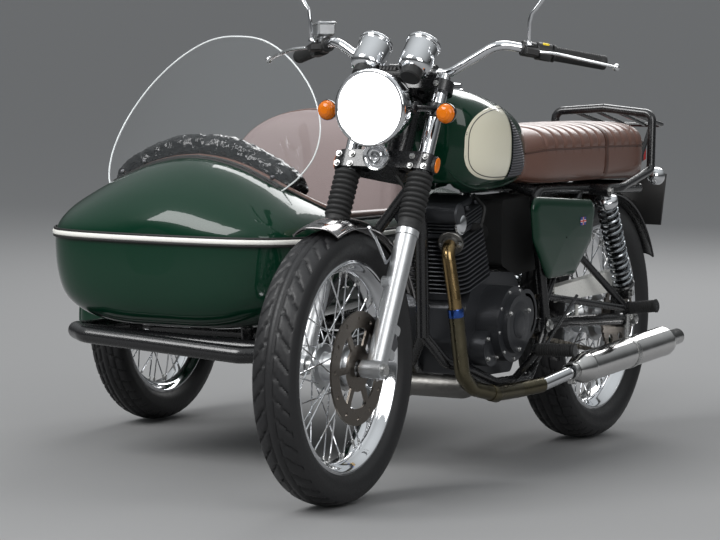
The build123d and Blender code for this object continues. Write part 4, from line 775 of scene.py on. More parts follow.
def flute(y):
    """Depth of the sewn cross channels of the saddle's top."""
    if y < FLUTE_FIRST or y > FLUTE_LAST or abs(y - STRAP_Y) < 16:
        return 0.0
    phase = ((y - FLUTE_FIRST) / FLUTE_PITCH) % 1
    return 5.5 * exp(-(min(phase, 1 - phase) / 0.085) ** 2) - 1.5 * sin(pi * phase)


def saddle_point(y, angle, off=0.0, fluted=True):
    """A point of the saddle's cover at y and an angle round it, pushed outwards by off."""
    w, low, high = between(FINE_SADDLE, y)
    half, seam = (high - low) / 2, low + (high - low) * SEAM_SHARE
    c, s = cos(angle), sin(angle)
    shape = TOP_POWER if s > 0 else FOOT_POWER
    x, z = power(c, shape), power(s, shape)
    height = (low + high) / 2 + z * half
    groove = flute(y) * min(1.0, (height - seam) / 8) if fluted and height > seam else 0.0
    groove += (2.0 if abs(height - seam) < 3 else 0.0) + (1.5 if abs(y - STRAP_Y) < 12 else 0.0)
    steep = 2 - 2 / shape
    normal = vec(copysign(abs(c) ** steep, c) / w, 0, copysign(abs(s) ** steep, s) / half).normalized()
    return vec(x * w * (1 - TUCK * (1 - z)), y, height) + normal * (off - groove)


def side_angle(share, side):
    """The angle round the saddle's section at a share of its height."""
    s = 2 * share - 1
    angle = asin(copysign(abs(s) ** ((TOP_POWER if s > 0 else FOOT_POWER) / 2), s))
    return angle if side > 0 else pi - angle


ys = [806 + 0.6 * k for k in range(5)] + [809 + 2.6 * k for k in range(1, 5)]
ys += [822 + 4.2 * k for k in range(164)]
ys += [1511, 1516, 1521, 1526, 1530, 1533, 1536, 1538, 1539, 1539.6]
rows = [[saddle_point(y, TAU * j / 96) for j in range(96)] for y in ys]
Build().loft(rows).done("saddle_cover", "brown_leather", node="saddle", sharp=180)
piping, stitches = Build(), Build()
for side in SIDES:
    for angle in (side_angle(share, side) for share in (SEAM_SHARE, PIPING_SHARE)):
        piping.rod([saddle_point(y, angle, 0.8, False) for y in range(816, 1534, 6)], 2.5, 8)
    angle = side_angle(STITCH_SHARE, side)
    for y in range(826, 1534, 6):
        stitches.rod([saddle_point(y + d, angle, 0.5, False) for d in (0, 3.6)], 0.7, 5)
piping.done("saddle_piping", "dark_leather")
rows = [[saddle_point(STRAP_Y + along, -0.42 + (pi + 0.84) * k / 60, off, False) for k in range(61)]
        for along, off in ((-10, -1), (-10, 2.4), (-8, 3.4), (8, 3.4), (10, 2.4), (10, -1))]
Build().grid(rows).done("saddle_strap", "dark_leather", sharp=50)
stitches.done("saddle_stitches", "thread")

# Side covers: pressed panels with rounded edges and a small flag
COVER_LINE, COVER_CORNER = [(738, 672), (1131, 645), (1100, 540), (1000, 463), (843, 463), (760, 560)], 34
COVER_X, COVER_BULGE, COVER_EDGE = 142.5, 10.5, 26


def rounded_outline(points, radius, steps=8):
    """A closed polygon with its corners rounded."""
    out, n = [], len(points)
    for i in range(n):
        p, a, b = (vec(*points[k % n], 0) for k in (i, i - 1, i + 1))
        u, v = (a - p).normalized(), (b - p).normalized()
        half_turn = acos(u.dot(v)) / 2
        centre = p + (u + v).normalized() * radius / sin(half_turn)
        start, end = (p + way * radius / tan(half_turn) - centre for way in (u, v))
        axis = start.cross(end).normalized()
        for k in range(steps + 1):
            out.append((centre + Matrix.Rotation(start.angle(end) * k / steps, 3, axis) @ start).xy)
    return out


def inset_line(line, depth):
    """A closed line drawn inwards by a depth."""
    out, n = [], len(line)
    centre = sum(line, Vector((0, 0))) / n
    for i, p in enumerate(line):
        run = (line[(i + 1) % n] - line[i - 1]).normalized()
        normal = Vector((-run.y, run.x))
        out.append(p + normal * copysign(depth, normal.dot(centre - p)))
    return out


def side_cover(build, side):
    """A panel that rises from its edge in a quarter round, with a slightly crowned face."""
    line = rounded_outline(COVER_LINE, COVER_CORNER)
    rows = [[(side * 140.2, *p) for p in line]]
    for depth in (0, 1.2, 3, 6, 10, 15, 20, COVER_EDGE):
        x = COVER_X + COVER_BULGE * sqrt(1 - (1 - depth / COVER_EDGE) ** 2)
        rows.append([(side * x, *p) for p in inset_line(line, depth)])
    inner = inset_line(line, COVER_EDGE)
    middle = sum(inner, Vector((0, 0))) / len(inner)
    for t in (0.75, 0.5, 0.25, 0.02):
        x = COVER_X + COVER_BULGE + 2.2 * (1 - t * t)
        rows.append([(side * x, *(middle + (p - middle) * t)) for p in inner])
    build.grid(rows, False, True)


mirror_build(side_cover, "side_cover_panels", "green_paint", node="side_covers", sharp=60)
FLAG = vec(155.3, 1030, 596)
for name, lift, bars in (("flag_blue", 0.0, [(17, 10)]), ("flag_white", 0.25, [(17, 3.2), (3.2, 10)]),
                         ("flag_red", 0.5, [(17, 1.8), (1.8, 10)])):
    flag = Build()
    for side in SIDES:
        for wide, tall in bars:
            flag.grid([[(side * (FLAG.x + lift), FLAG.y + a * wide, FLAG.z + b * tall) for a in SIDES]
                       for b in SIDES])
    flag.done(name, name)

# Headlamp rim and lens
HEADLAMP = vec(0, 158, 898)
rim = [(79.4, 1), (81, -3.5), (84, -6), (87, -5.5), (89.5, -2.5), (90.3, 2), (90, 8), (88.6, 12),
       (86.6, 12.5), (86.6, 2), (79.4, 3)]
Build().lathe(HEADLAMP, Y, rim, 128, True).done("headlamp_rim", "chrome", "fork", sharp=50)
turned("headlamp_glass", "lamp_lens", "fork", [HEADLAMP], Y,
       [(79.6, 2.5), (79.4, -0.5), (72, -2.8), (60, -4.8), (44, -6.4), (24, -7.5), (0, -8)], 96,
       node="headlamp_lens", sharp=60)

# Indicators: round cups behind ribbed amber lenses; facing is -1 to the front and 1 to the rear
LENS = [(22.4, 0), (22.6, 3), (21.5, 4), (21.5, 7), (19.8, 10), (19.6, 11), (16, 14), (15.6, 14.6), (10, 17),
        (9.6, 17.3), (0, 18)]
CUP = [(22.2, 1.5), (24, 1.5), (24.2, 0), (23.6, -6), (21.5, -13), (17.5, -20), (11, -26), (4, -28.6),
       (0, -28.8)]
for name, body, finish, place, facing in (("front", "fork", "black_paint", leg(640, 154, -2) - Y * 64, -1),
                                          ("rear", "machine", "chrome", vec(128, 1568, 684), 1)):
    lens, cup = ([(r, facing * along) for r, along in profile] for profile in (LENS, CUP))
    turned(name + "_indicator_lenses", "amber_lens", body, both(place), Y, lens, 48,
           node=name + "_indicators", sharp=30)
    turned(name + "_indicator_cups", finish, body, both(place), Y, cup, 48, sharp=60)
Build().rod([(-128, 1554, 684), (128, 1554, 684)], 7, 16).done("rear_indicator_bar", "black_paint")

# Gauges: chrome cups and bezels, dials with marks and needles, and their holder
GAUGE, GAUGE_UP = vec(62, 250, 982), ray(radians(43))
DIAL_TOP = vec(0, -GAUGE_UP.z, GAUGE_UP.y)
DIAL_UP, NEEDLE_UP, NEEDLE_AT = 79.4, 81, -122


def gauge_part(name, finish, profile, steps, **more):
    """A turned piece of both gauges."""
    turned("gauge_" + name, finish, "fork", both(GAUGE), GAUGE_UP, profile, steps, **more)


gauge_part("cups", "chrome", [(0, -1), (24, -1), (29, 1), (34, 5), (38, 11), (39, 16), (39, 70), (38.2, 72),
                              (38.2, 73.5), (39, 75), (39, 77)], 64, node="gauges", sharp=40)
gauge_part("bezels", "chrome", [(39, 76), (41, 77.5), (41.4, 80), (41.2, 85), (40, 86.5), (37.5, 86.5),
                                (36.6, 85), (36.6, 79)], 64, sharp=50)
gauge_part("faces", "dial_face", [(37, 79), (0, 79)], 48)


def dial_ray(degrees):
    """The direction on the dial at an angle from its top."""
    return X * sin(radians(degrees)) + DIAL_TOP * cos(radians(degrees))


marks, needles, holder = Build(), Build(), Build()
holder.rod([p - GAUGE_UP * 9 for p in both(GAUGE)], 8, 16)
for foot in both(GAUGE):
    for k in range(21):
        out, inner, thick = dial_ray(-130 + 13 * k), *((29, 0.5) if k % 2 else (26, 0.8))
        marks.rod([foot + GAUGE_UP * DIAL_UP + out * reach for reach in (inner, 33)], thick, 4)
    needles.rod([foot + GAUGE_UP * NEEDLE_UP + dial_ray(NEEDLE_AT) * reach for reach in (-7, 27)], 1.0, 6)
    needles.lathe(foot, GAUGE_UP, [(0, 79), (4.5, 79), (4.5, 82), (0, 83)], 20)
    holder.lathe(foot, GAUGE_UP, [(0, -22), (22, -22), (25, -19), (25, -1), (0, -1)], 32)
middle = vec(0, GAUGE.y, GAUGE.z)
holder.rod([middle - GAUGE_UP * 12, leg(712, 0, -12)], 9)
for u in (-18, -9, 0, 9, 18):
    holder.block(middle + X * u + GAUGE_UP * 2, (X, GAUGE_UP, DIAL_TOP), (3.6, 7, 9), 1.2)
marks.done("gauge_marks", "dial_marks", "fork")
needles.done("gauge_needles", "needle_red", "fork")
gauge_part("glasses", "clear_screen", [(36.8, 84), (20, 84.8), (0, 85)], 48)
holder.done("gauge_holder", "black_plastic", "fork", sharp=40)

# Horn: a chrome trumpet face with rings
turned("horn_face", "chrome", "fork", [(0, 190, 786)], Y,
       [(0, -6.5), (5, -6.5), (6, -5), (12, -4), (13, -6), (16, -6.6), (18, -5), (20, -1), (24, 0), (27, -3),
        (31, -4.6), (33, -2), (33, 3), (31, 8), (24, 14), (18, 22), (17, 33), (0, 33)], 72,
       node="horn", sharp=45)

# Oval reflectors in dark rings; their amber discs glow faintly, a painted glow
for name, finish, node, a, b, depth in (("reflector_rings", "black_plastic", "side_reflectors", 14, 22, 0.0),
                                        ("reflector_discs", "amber_lens", None, 11.2, 19, 2.5)):
    build = Build()
    for side in SIDES:
        centre = leg(506, side * 122)
        build.grid([ring(centre + X * side * (depth + out), FORK_BACK * a * share, FORK_UP * b * share, 40)
                    for share, out in ((1, 0), (1, 6), (0.94, 8), (0.6, 8.6), (0.02, 8.8))], False, True)
    build.done(name, finish, "fork", node=node, sharp=40)

# Yoke bolts, stanchion caps and the ring of each slider
bolts = Build()
for side in SIDES:
    for x, along, height in ((78, 490, 7), (78, 514, 7), (112, 490, 7), (112, 514, 7), (95, 700, 8)):
        bolts.bolt(leg(along, side * x, -30), -FORK_BACK, 5.5, height)
    bolts.lathe(leg(728, side * 95), FORK_UP, [(17, -4), (17, 3), (15, 5), (11, 5.5), (0, 5.5)], 32)
    bolts.lathe(leg(332, side * 95), FORK_UP, [(24.6, 0), (26.4, 1), (26.4, 7), (24.6, 9)], 40)
bolts.done("fork_bolts", "zinc_steel", "fork", slot="chrome", sharp=35)

# Levers, switch boxes and grips
BAR_BEND, BAR_END, GRIP_LENGTH = vec(212, 392, 1046), vec(405, 565, 1003), 128
GRIP_DIR = (BAR_END - BAR_BEND).normalized()


def on_bar(side, past_grip, forward=0.0, above=0.0):
    """A point along the bar, measured inwards from the grip's inner end, ahead of it and above it."""
    p = BAR_END - GRIP_DIR * (GRIP_LENGTH + past_grip)
    p += vec(GRIP_DIR.y, -GRIP_DIR.x, 0).normalized() * forward + Z * above
    return vec(side * p.x, p.y, p.z)


def bar_axes(side):
    """Outwards along the bar, ahead of it, and square to both."""
    run, ahead = ((on_bar(side, *p) - on_bar(side, 0)).normalized() for p in ((-100,), (0, 10)))
    return run, ahead, run.cross(ahead) * side


grip = [(11.2, -1), (20, -1), (20.5, 1), (20, 4), (16.5, 5)]
for a in range(8, 114, 5):
    grip += [(16.9, a), (16.9, a + 3), (15.9, a + 3.6), (15.9, a + 4.6)]
grip += [(17, 120), (17, 127), (16, 131), (12, 133), (0, 133)]
LEVER_LINE = [(46, 40, -4), (8, 62, -2), (-40, 74, -4), (-88, 78, -6), (-132, 78, -8)]
ball = [(8.5 * cos(a), 8.5 * sin(a)) for a in (pi * (k / 12 - 0.5) for k in range(13))]
levers, boxes, grips = Build(), Build(), Build()
for side in SIDES:
    run, ahead, over = bar_axes(side)
    path = [Vector(p) for p in smooth_path([on_bar(side, *p) for p in LEVER_LINE])]
    shares = [i / (len(path) - 1) for i in range(len(path))]
    levers.loft([ring(p, ahead * (8.5 - 3.2 * t), Z * (4.2 - 0.7 * t), 16) for p, t in zip(path, shares)])
    levers.lathe(path[-1], X, ball, 20)
    boxes.lathe(on_bar(side, 42), run, [(11.2, 0), (19, 0), (21, 2), (21, 34), (19.5, 36), (11.2, 36)], 40)
    boxes.block(on_bar(side, 24, 8, -8), (run, ahead, over), (16, 14, 13), 3)
    boxes.block(on_bar(side, 60, 22, -5), (run, ahead, over), (16, 20, 9), 3)
    boxes.lathe(on_bar(side, 78), run, [(11.2, 0), (16, 0), (18, 2), (18, 34), (16, 37), (11.2, 37)], 36)
    grips.lathe(on_bar(side, 0), run, grip, 40)
levers.done("bar_levers", "lever_silver", "fork", node="bar_controls", sharp=60)
boxes.done("bar_switches", "black_plastic", "fork", sharp=35)

# Master cylinder with the screws of its lid, and the button of the left switch box
run, ahead, over = bar_axes(-1)
master = Build()
master.block(on_bar(-1, 60, 6, 35), (run, ahead, Z), (26, 22, 15), 4)
master.block(on_bar(-1, 60, 6, 51), (run, ahead, Z), (27, 23, 2.5), 2)
master.rod([on_bar(-1, 60, 6, 8), on_bar(-1, 60, 6, 22)], 12, 20)
master.done("master_cylinder", "cast_aluminium", "fork", sharp=35)
places = [on_bar(-1, 60, 6, 53) + run * a + ahead * b for a in (-20, 20) for b in (-16, 16)]
turned("master_screws", "zinc_steel", "fork", places, Z, [(3.6, 0), (3.4, 1.6), (2, 2), (0, 2)], 12)
button = Build().block(on_bar(1, 20, 8, 16), bar_axes(1), (8, 6, 5), 1.5)
button.done("switch_button", "button_yellow", "fork")
grips.done("grip_rubbers", "rubber", "fork", node="grips", sharp=35)

# Mirrors: round heads with real glass, on thin stems
heads, glasses = Build(), Build()
for side, forward in zip(SIDES, (36, 14)):
    foot = on_bar(side, 62, forward, 14)
    elbow, head = foot + vec(side * 3, -6, 62), foot + vec(side * 88, 14, 178)
    reach = (head - elbow).normalized() * 20
    heads.rod([foot, elbow - Z * 14, elbow + vec(side * 3, 1, 6), elbow + reach, head], 5, 16)
    heads.lathe(head, Y, [(0, -24), (14, -23.5), (27, -21), (38, -16), (46, -9), (51, -1), (52, 4), (51.4, 6),
                          (49, 6)], 64)
    heads.bolt(foot - Z * 6, Z, 8, 9)
    glasses.lathe(head, Y, [(49.2, 5.4), (0, 5.4)], 48)
heads.done("mirror_heads", "chrome", "fork", node="mirrors", sharp=50)
glasses.done("mirror_glasses", "mirror_glass", "fork")


# Mudguards: thin arched sheets with rolled edges
GUARD_THICK, GUARD_POWER, GUARD_BEAD = 2.4, 3.2, 3.2


def mudguard(name, finish, body, centre, inner_r, half_w, drop, start, arc):
    """A guard from its inner radius, half width, the drop of its edges, and its arc in degrees."""

    def surface(u, angle, lift):
        """A point at a share of the half width and an angle, lifted off the inner face."""
        return centre + X * half_w * u + ray(angle) * (inner_r + lift - drop * abs(u) ** GUARD_POWER)

    turns = [radians(start + arc * i / 72) for i in range(73)]
    across = [k / 10 - 1 for k in range(21)]
    rows = [[surface(u, a, GUARD_THICK) for u in across] + [surface(u, a, 0) for u in reversed(across)]
            for a in turns]
    Build().loft(rows).done(name + "_guard_sheet", finish, body, name + "_mudguard", "chrome", 45)
    edge = Build()
    for side in SIDES:
        edge.rod([surface(side, a, 1.5) for a in turns], GUARD_BEAD, 10)
    for a in (turns[0], turns[-1]):
        edge.rod([surface(k / 8 - 1, a, 1.2) for k in range(17)], GUARD_BEAD * 0.8, 8)
    edge.done(name + "_guard_edge", finish, body, None, "chrome", 60)


# The front guard's chrome is darkened: a painted dark reflection
mudguard("front", "chrome_dark_reflection", "fork", FRONT_AXLE, 336, 56, 20, -18, 82)
mudguard("rear", "black_paint", "machine", REAR_AXLE, 343, 72, 22, -58, 122)
mudguard("sidecar", "green_paint", "machine", SIDE_AXLE, 322, 60, 22, -92, 172)
stays = Build()
for side in SIDES:
    lug = leg(250, side * 69, -20)
    for a in (radians(8), radians(34)):
        foot = FRONT_AXLE + X * side * 58 + ray(a) * 318
        stays.rod(bent([lug, lug * 0.3 + foot * 0.7 + X * side * 5, foot], 20), 4)
        stays.bolt(foot + X * side * 2, X * side, 5, 5)
stays.done("front_guard_stays", "chrome", "fork")
stays = Build()
for a in (radians(-28), 0, radians(28)):
    top = vec(-1078, SIDE_AXLE.y, SIDE_AXLE.z) + ray(a) * 303
    stays.rod([(-1076, SIDE_AXLE.y + 14 * sin(a), SIDE_AXLE.z + 12), top], 5).bolt(top - X * 4, -X, 5, 5)
stays.done("sidecar_guard_stays", "black_paint")

# The blank board for a number plate, with its frame and carrier
BOARD, BOARD_UP, BOARD_OUT = vec(0, 1712, 614), vec(0, 0.25, 1).normalized(), vec(0, 1, -0.25).normalized()
BOARD_AXES = (X, BOARD_UP, BOARD_OUT)
board = Build().block(BOARD + BOARD_OUT * 2, BOARD_AXES, (90, 70, 2), 0.8)
for x, z, a, b in ((0, 68, 90, 2), (0, -68, 90, 2), (88, 0, 2, 70), (-88, 0, 2, 70)):
    board.block(BOARD + X * x + BOARD_UP * z + BOARD_OUT * 3.4, BOARD_AXES, (a, b, 1.6), 0.5)
board.rod([(0, 1620, 590), (0, 1712, 600)], 10, 20).rod([(-92, 1522, 668), (92, 1522, 668)], 6, 16)
board.done("plate_board", "black_plastic", sharp=40)

# Exhaust: browned headers, wider sleeves below the ring, a chamber across and chrome silencers
HEADER_LINE = [(58, 474, 572), (68, 434, 554), (86, 438, 440), (98, 462, 260), (100, 505, 224),
               (118, 600, 202), (126, 720, 200), (148, 810, 205), (166, 960, 226)]
NOSE, TAIL, RING_Z, JOINT_Y, LINK_Y = vec(166, 960, 226), vec(174, 1622, 256), 408, 560, 790
CAN = [(17, 2), (22.5, 0), (24.2, 2), (25.6, 10), (30, 24), (36, 42), (38, 50), (38.8, 58), (39.3, 60),
       (39.3, 63), (38.6, 64.5), (38.8, 70), (38.9, 550), (39.4, 553), (39.4, 557), (38.6, 560), (37.5, 567),
       (34, 574), (27, 579.5), (22, 581), (21, 583), (21, 661), (20, 662.5), (17.4, 662.5), (17, 661),
       (17, 603), (0, 603)]
upper, lower, clamps, cans, tails, blue, flanges = (Build() for _ in range(7))
for side, nose, tail in zip(SIDES, both(NOSE), both(TAIL)):
    line = bent([(side * x, y, z) for x, y, z in HEADER_LINE], 34)
    split = next(i for i, p in enumerate(line) if p.z < RING_Z)
    above, below = line[split - 1], line[split]
    line.insert(split, above.lerp(below, (above.z - RING_Z) / (above.z - below.z)))
    joint, link = (next(i for i, p in enumerate(line) if p.y > y) for y in (JOINT_Y, LINK_Y))
    upper.rod(line[:split + 1], 16.2, 28)
    lower.rod(line[split:joint + 1], 18.6, 28).rod(line[joint:link + 1], 19.4, 28)
    tails.rod(line[link:], 17.5, 28)
    for build, i, r, wide in ((blue, split, 19.4, 10), (lower, joint, 20.6, 14)):
        build.lathe(line[i], line[i + 1] - line[i - 1], [(r - 3, -wide), (r - 0.5, -wide), (r, 1.5 - wide),
                                                         (r, wide - 1.5), (r - 0.5, wide), (r - 3, wide)], 40)
    port, outlet = (vec(side * x, y, z) for x, y, z in HEADER_LINE[:2])
    out = (outlet - port).normalized()
    flanges.lathe(port, out, [(15, -2), (30, -2), (31, 0), (31, 7), (29, 9), (22, 10), (20, 16), (15, 17)],
                  40)
    for x in (24, -24):
        clamps.bolt(port + out * 9 + X * x, out, 5, 8)
    run = (tail - nose).normalized()
    cans.lathe(nose, run, CAN, 64)
    clamps.lathe(nose, run, [(19, -24), (22.6, -24), (23.2, -23), (23.2, -5), (22.6, -4), (19, -4)], 40)
    clamps.block(nose - run * 14 - Z * 25, (run, X * side, Z), (8, 6, 6), 1.5)
    clamps.bolt(nose - run * 14 + vec(side * 6, 0, -26), X * side, 4.5, 6)
    strap = nose + run * 330
    clamps.lathe(strap, run, [(38.6, -11), (40.2, -11), (40.6, -9.5), (40.6, 9.5), (40.2, 11), (38.6, 11)],
                 56)
    clamps.block(strap + vec(-side * 2, 0, 52), (Y, Z, X), (14, 22, 2.5), 0.8)
    clamps.rod([(side * 169, 1290, 346), (side * 169, 1290, 268)], 6, 16)
upper.done("header_upper", "header_steel", node="exhaust_headers", sharp=40)
lower.done("header_sleeves", "sleeve_steel", sharp=40)
blue.done("header_rings", "blued_steel", sharp=40)
tails.done("exhaust_links", "chrome", sharp=40)
turned("exhaust_link", "grey_steel", "machine", [(0, 505, 224)], X,
       [(0, -104), (17, -103), (22, -97), (26, -84), (27, -78), (27, 78), (26, 84), (22, 97), (17, 103),
        (0, 104)], 48, sharp=40)
flanges.done("header_flanges", "grey_steel", sharp=35)
clamps.done("exhaust_clamps", "zinc_steel", sharp=35)
cans.done("silencer_bodies", "silencer_chrome", node="silencers", sharp=40)

# Engine: finned cylinder and head, caps and spark plug
CYL_FOOT, CYL_UP = vec(0, 590, 440), vec(0, -55, 215).normalized()
CYL_AHEAD = X.cross(CYL_UP)


def cylinder_point(x, up, ahead):
    """A point across, up and ahead on the cylinder's own axes."""
    return CYL_FOOT + CYL_UP * up + X * x + CYL_AHEAD * ahead


def slab(build, low, high, half_a, half_b, corner, round_over=1.2):
    """A rounded plate across the cylinder between two distances up its axis."""
    build.loft([[cylinder_point(a, up, b) for a, b in rounded_box(half_a, half_b, corner, inset, 6)]
                for up, inset in ((low, round_over), (low + round_over, 0), (high - round_over, 0),
                                  (high, round_over))])


barrel, caps, plug = Build(), Build(), Build()
slab(barrel, 0, 228, 54, 59, 26)
for count in range(13):
    slab(barrel, 26 + 10.6 * count, 29.6 + 10.6 * count, 84 - 0.5 * count, 86 - 0.3 * count, 34)
slab(barrel, 166, 176, 75, 83, 20)
for count in range(4):
    slab(barrel, 180 + 8.4 * count, 183.6 + 8.4 * count, 77, 84, 22)
slab(barrel, 212, 231, 61, 64, 22, 5)
for side in SIDES:
    for ahead in (-52, 0, 52):
        barrel.bolt(cylinder_point(side * 68, 214, ahead), CYL_UP, 6, 9)
    caps.lathe(cylinder_point(side * 74, 196, 56), X * side,
               [(27, 0), (27, 5), (25, 7), (23, 7.4), (21, 10), (16, 12.4), (8, 13.6), (0, 14)], 40)
barrel.lathe((0, 470, 640), X, [(0, -84), (22, -84), (26, -80), (26, 80), (22, 84), (0, 84)], 40)
barrel.done("cylinder_fins", "engine_black", node="cylinder_and_head", sharp=40)
caps.done("head_caps", "chrome", sharp=40)
plug.rod(bent([(70, 560, 604), (96, 560, 610), (100, 570, 650), (60, 590, 680)], 16), 4.2)
plug.lathe((66, 561, 602), (26, -4, 6), [(0, 0), (9, 0), (10, 3), (10, 16), (7, 22), (5.5, 34), (0, 36)], 20)
plug.done("plug_lead", "rubber")

# Round crankcase covers with their bolts; the front sprocket's one, on the left, is open
SPROCKET_Y = 772
covers, cover_bolts = Build(), Build()
for side in SIDES:
    for y, z, r, reach in ((664, 366, 92, 138), (664, 366, 70, 152), (SPROCKET_Y, 378, 64, 120),
                           (586, 313, 44, 116)):
        profile = [(r - 2, reach - 6), (r - 7, reach - 1.5), (r - 14, reach), (0, reach + 1)]
        if side > 0 and y == SPROCKET_Y:
            profile = [(r - 3, reach - 5), (r - 10, reach), (46, reach)]
        covers.lathe((0, y, z), X * side, [(r, 76), (r, reach - 12)] + profile, 72)
    for y, z, r, reach, count in ((664, 366, 84, 134, 9), (664, 366, 60, 151, 3), (586, 313, 34, 116, 4)):
        for a in (TAU * (k + 0.5) / count for k in range(count)):
            cover_bolts.bolt(vec(side * reach, y, z) + ray(a) * r, X * side, 4.6, 6.5)
    covers.lathe((0, 664, 366), X * side, [(34, 150), (34, 153.5), (31, 155), (12, 155.5), (0, 155.5)], 48)
covers.done("engine_case_covers", "engine_black", sharp=35)
cover_bolts.done("engine_case_bolts", "zinc_steel", sharp=35)

# Chain: plates and rollers along both runs and round both sprockets, from the box of the CAD's chain
PLATE_R = 5.2
PLATE_ENDS = [pi * (j / 4 - 0.5) for j in range(5)]
low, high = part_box("drive_chain")
CHAIN_X = ((low[0] + high[0]) / 2 - DATUM.x) * 1000
SMALL, LARGE, PITCH = 38.0, (high[2] - low[2]) * 500 - 5.6, 15.875
front, rear = vec(CHAIN_X, 792, 372), vec(CHAIN_X, REAR_AXLE.y, REAR_AXLE.z)
tops, feet = (front + Z * SMALL, rear + Z * LARGE), (rear - Z * LARGE, front - Z * SMALL)
loop = [tops[0].lerp(tops[1], k / 60) for k in range(60)]
loop += [rear + ray(pi * k / 40) * LARGE for k in range(40)]
loop += [feet[0].lerp(feet[1], k / 60) for k in range(60)]
loop += [front - ray(pi * k / 24) * SMALL for k in range(25)]
travelled = [0.0]
for a, b in zip(loop, loop[1:]):
    travelled.append(travelled[-1] + (b - a).length)
links = round(travelled[-1] / PITCH / 2) * 2
pins = []
for distance in (travelled[-1] * k / links for k in range(links)):
    i = next(i for i in range(len(loop)) if travelled[i + 1] >= distance)
    pins.append(loop[i].lerp(loop[i + 1], (distance - travelled[i]) / (travelled[i + 1] - travelled[i])))
chain = Build()
for k, p in enumerate(pins):
    q = pins[(k + 1) % links]
    run = (q - p).normalized()
    over, gap = run.cross(X), 4.6 if k % 2 else 6.4
    for side in SIDES:
        chain.loft([[end + X * side * x + (run * cos(a) + over * sin(a)) * PLATE_R * way
                     for end, way in ((q, 1), (p, -1)) for a in PLATE_ENDS] for x in (gap, gap + 1.5)])
    chain.lathe(p, X, [(3.4, -4.6), (5, -4.6), (5, 4.6), (3.4, 4.6)], 10)
chain.done("chain_links", "chain_steel", node="drive_chain", sharp=35)

# Foot rests with ribbed rubbers
RIB_PITCH = 6.2
rests = Build()
for foot, tip in ((vec(158, 760, 296.3), vec(256, 760, 300)), (vec(178, 1290, 358.2), vec(250, 1290, 367.2))):
    length = (tip - foot).length
    profile = [(10, 0), (15.6, 0), (16, 1)]
    for k in (4 + RIB_PITCH * i for i in range(int((length - 12) / RIB_PITCH) + 1)):
        profile += [(16, k), (16, k + 3.2), (14.6, k + 4), (14.6, k + 5.4)]
    profile += [(16, length - 5), (17.2, length - 4), (17.2, length), (15, length + 1.5), (0, length + 1.5)]
    for a, b in zip(both(foot), both(tip)):
        rests.lathe(a, b - a, profile, 32)
rests.done("foot_rest_rubbers", "rubber", sharp=35)

# Axle nuts, swinging-arm and shock bolts
nuts, fork_nuts = Build(), Build()
for p, radius, height in ((REAR_AXLE + X * 138, 14, 12), (vec(132, 880, 344), 12, 10),
                          (SHOCK_TOP + X * 15, 9, 9), (SHOCK_FOOT + X * 15, 9, 9)):
    for side, place in zip(SIDES, both(p)):
        nuts.bolt(place, X * side, radius, height)
nuts.bolt((-1198, SIDE_AXLE.y, SIDE_AXLE.z), -X, 13, 12)
for side in SIDES:
    fork_nuts.bolt(FRONT_AXLE + X * side * 121, X * side, 11, 9)
    for behind in (-14, 14):
        fork_nuts.bolt(leg(-16, side * 95, behind), -FORK_UP, 5, 7)
for along in (52, 112):
    fork_nuts.bolt(leg(along, 79, 38), -X, 6.5, 7)
nuts.done("axle_nuts", "zinc_steel", sharp=35)
fork_nuts.done("front_axle_nuts", "zinc_steel", "fork", sharp=35)

# Tail lamp: a dark housing with a ribbed red lens
housing = Build().block((0, 1664, 744), (X, Z, Y), (47, 30, 14), 5)
housing.rod([(0, 1656, 740), (0, 1600, 690)], 14, 20)
housing.done("tail_lamp_housing", "black_plastic", node="tail_lamp", sharp=40)
lens = Build()
for count in range(7):
    lens.block((0, 1680 + 4.0 * count, 744), (X, Z, Y), (44 - 0.6 * count, 27 - 0.5 * count, 1.9), 1.2)
lens.block((0, 1692, 744), (X, Z, Y), (41, 25, 13), 3).done("tail_lamp_lens", "red_lens", sharp=40)

# Sidecar lamp: a chrome bullet with a white lens ahead and a red one behind
SIDE_LAMP = vec(-1140, 872, 606)
shell = Build().lathe(SIDE_LAMP, Y, [(24, -1), (28.4, -1), (30, 1), (30, 5), (29.4, 14), (27, 26), (22.5, 38),
                                     (16, 45), (14, 46)], 48)
shell.rod([SIDE_LAMP + vec(0, 20, -20), (-1140, 914, 552)], 9, 20)
shell.done("sidecar_lamp_shell", "chrome", node="sidecar_lamp", sharp=45)
turned("sidecar_lamp_glass", "lamp_lens", "machine", [SIDE_LAMP], Y,
       [(27, 1), (26.4, -3), (22, -7), (12, -9.6), (0, -10)], 40, sharp=60)
turned("sidecar_lamp_rear", "red_lens", "machine", [SIDE_LAMP], Y,
       [(14.6, 44), (13.4, 49), (8, 51.6), (0, 52)], 32, sharp=60)

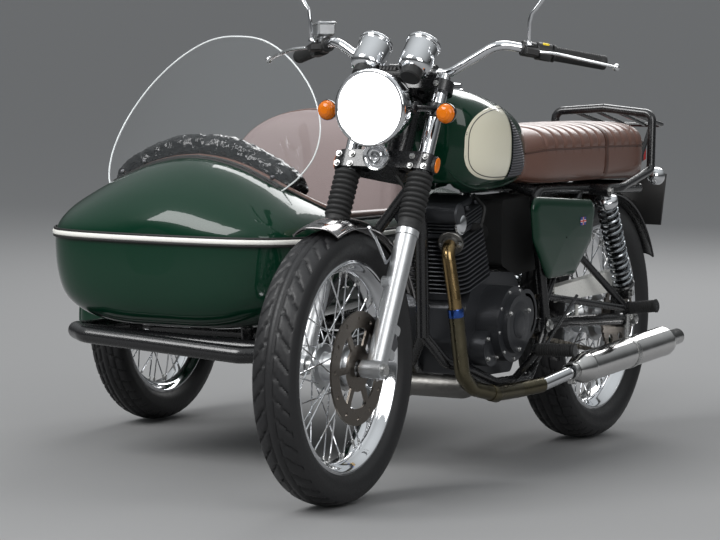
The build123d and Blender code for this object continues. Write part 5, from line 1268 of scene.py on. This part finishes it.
# Floor and light
FLOOR_HALF, FLOOR_Z = 2000, -0.001
floor_mesh = bpy.data.meshes.new("floor")
corners = [(a * FLOOR_HALF, b * FLOOR_HALF, 0) for a, b in ((-1, -1), (1, -1), (1, 1), (-1, 1))]
floor_mesh.from_pydata(corners, [], [(0, 1, 2, 3)])
floor_mesh.materials.append(LOOKS["floor_grey"])
floor = bpy.data.objects.new("floor", floor_mesh)
floor.location.z = FLOOR_Z
bpy.context.collection.objects.link(floor)
LIGHT_SIZE = 4.0
for name, place, aim, energy in (("key", (-2.0, -5.0, 5.5), (0, 0, 0.5), 430),
                                 ("fill", (5.0, -4.0, 3.5), (0, 0, 0.5), 160),
                                 ("rim", (-1.0, 5.5, 4.5), (0, 0, 0.6), 260)):
    light = bpy.data.lights.new(name, "AREA")
    light.size, light.energy = LIGHT_SIZE, energy
    lamp = bpy.data.objects.new(name, light)
    lamp.location = place
    lamp.rotation_euler = (Vector(aim) - Vector(place)).to_track_quat("-Z", "Y").to_euler()
    bpy.context.collection.objects.link(lamp)

# The world lights evenly, and metal sees a dark skyline under a bright sky
DAYLIGHT, DAYLIGHT_STRENGTH = (0.84, 0.87, 0.9, 1), 0.62
world = bpy.data.worlds.new("world")
world.use_nodes = True
bpy.context.scene.world = world
nodes, links = world.node_tree.nodes, world.node_tree.links
backdrop = nodes["Background"]
backdrop.inputs["Color"].default_value = DAYLIGHT
backdrop.inputs["Strength"].default_value = DAYLIGHT_STRENGTH
where, parts = nodes.new("ShaderNodeTexCoord"), nodes.new("ShaderNodeSeparateXYZ")
skyline, seen = nodes.new("ShaderNodeValToRGB"), nodes.new("ShaderNodeBackground")
path, mix = nodes.new("ShaderNodeLightPath"), nodes.new("ShaderNodeMixShader")
stops = skyline.color_ramp.elements
for place, grey in ((0.0, 0.10), (0.08, 0.05), (0.20, 0.10), (0.45, 0.34), (1.0, 0.75)):
    stop = stops.new(place) if 0 < place < 1 else stops[0 if place == 0 else -1]
    stop.color = (grey * 0.96, grey, grey * 1.02, 1)
for source, target in ((where.outputs["Generated"], parts.inputs[0]), (parts.outputs["Z"], skyline.inputs[0]),
                       (skyline.outputs[0], seen.inputs["Color"]),
                       (path.outputs["Is Glossy Ray"], mix.inputs[0]),
                       (backdrop.outputs[0], mix.inputs[1]), (seen.outputs[0], mix.inputs[2]),
                       (mix.outputs[0], nodes["World Output"].inputs["Surface"])):
    links.new(source, target)
bpy.context.scene.view_settings.view_transform = "Standard"
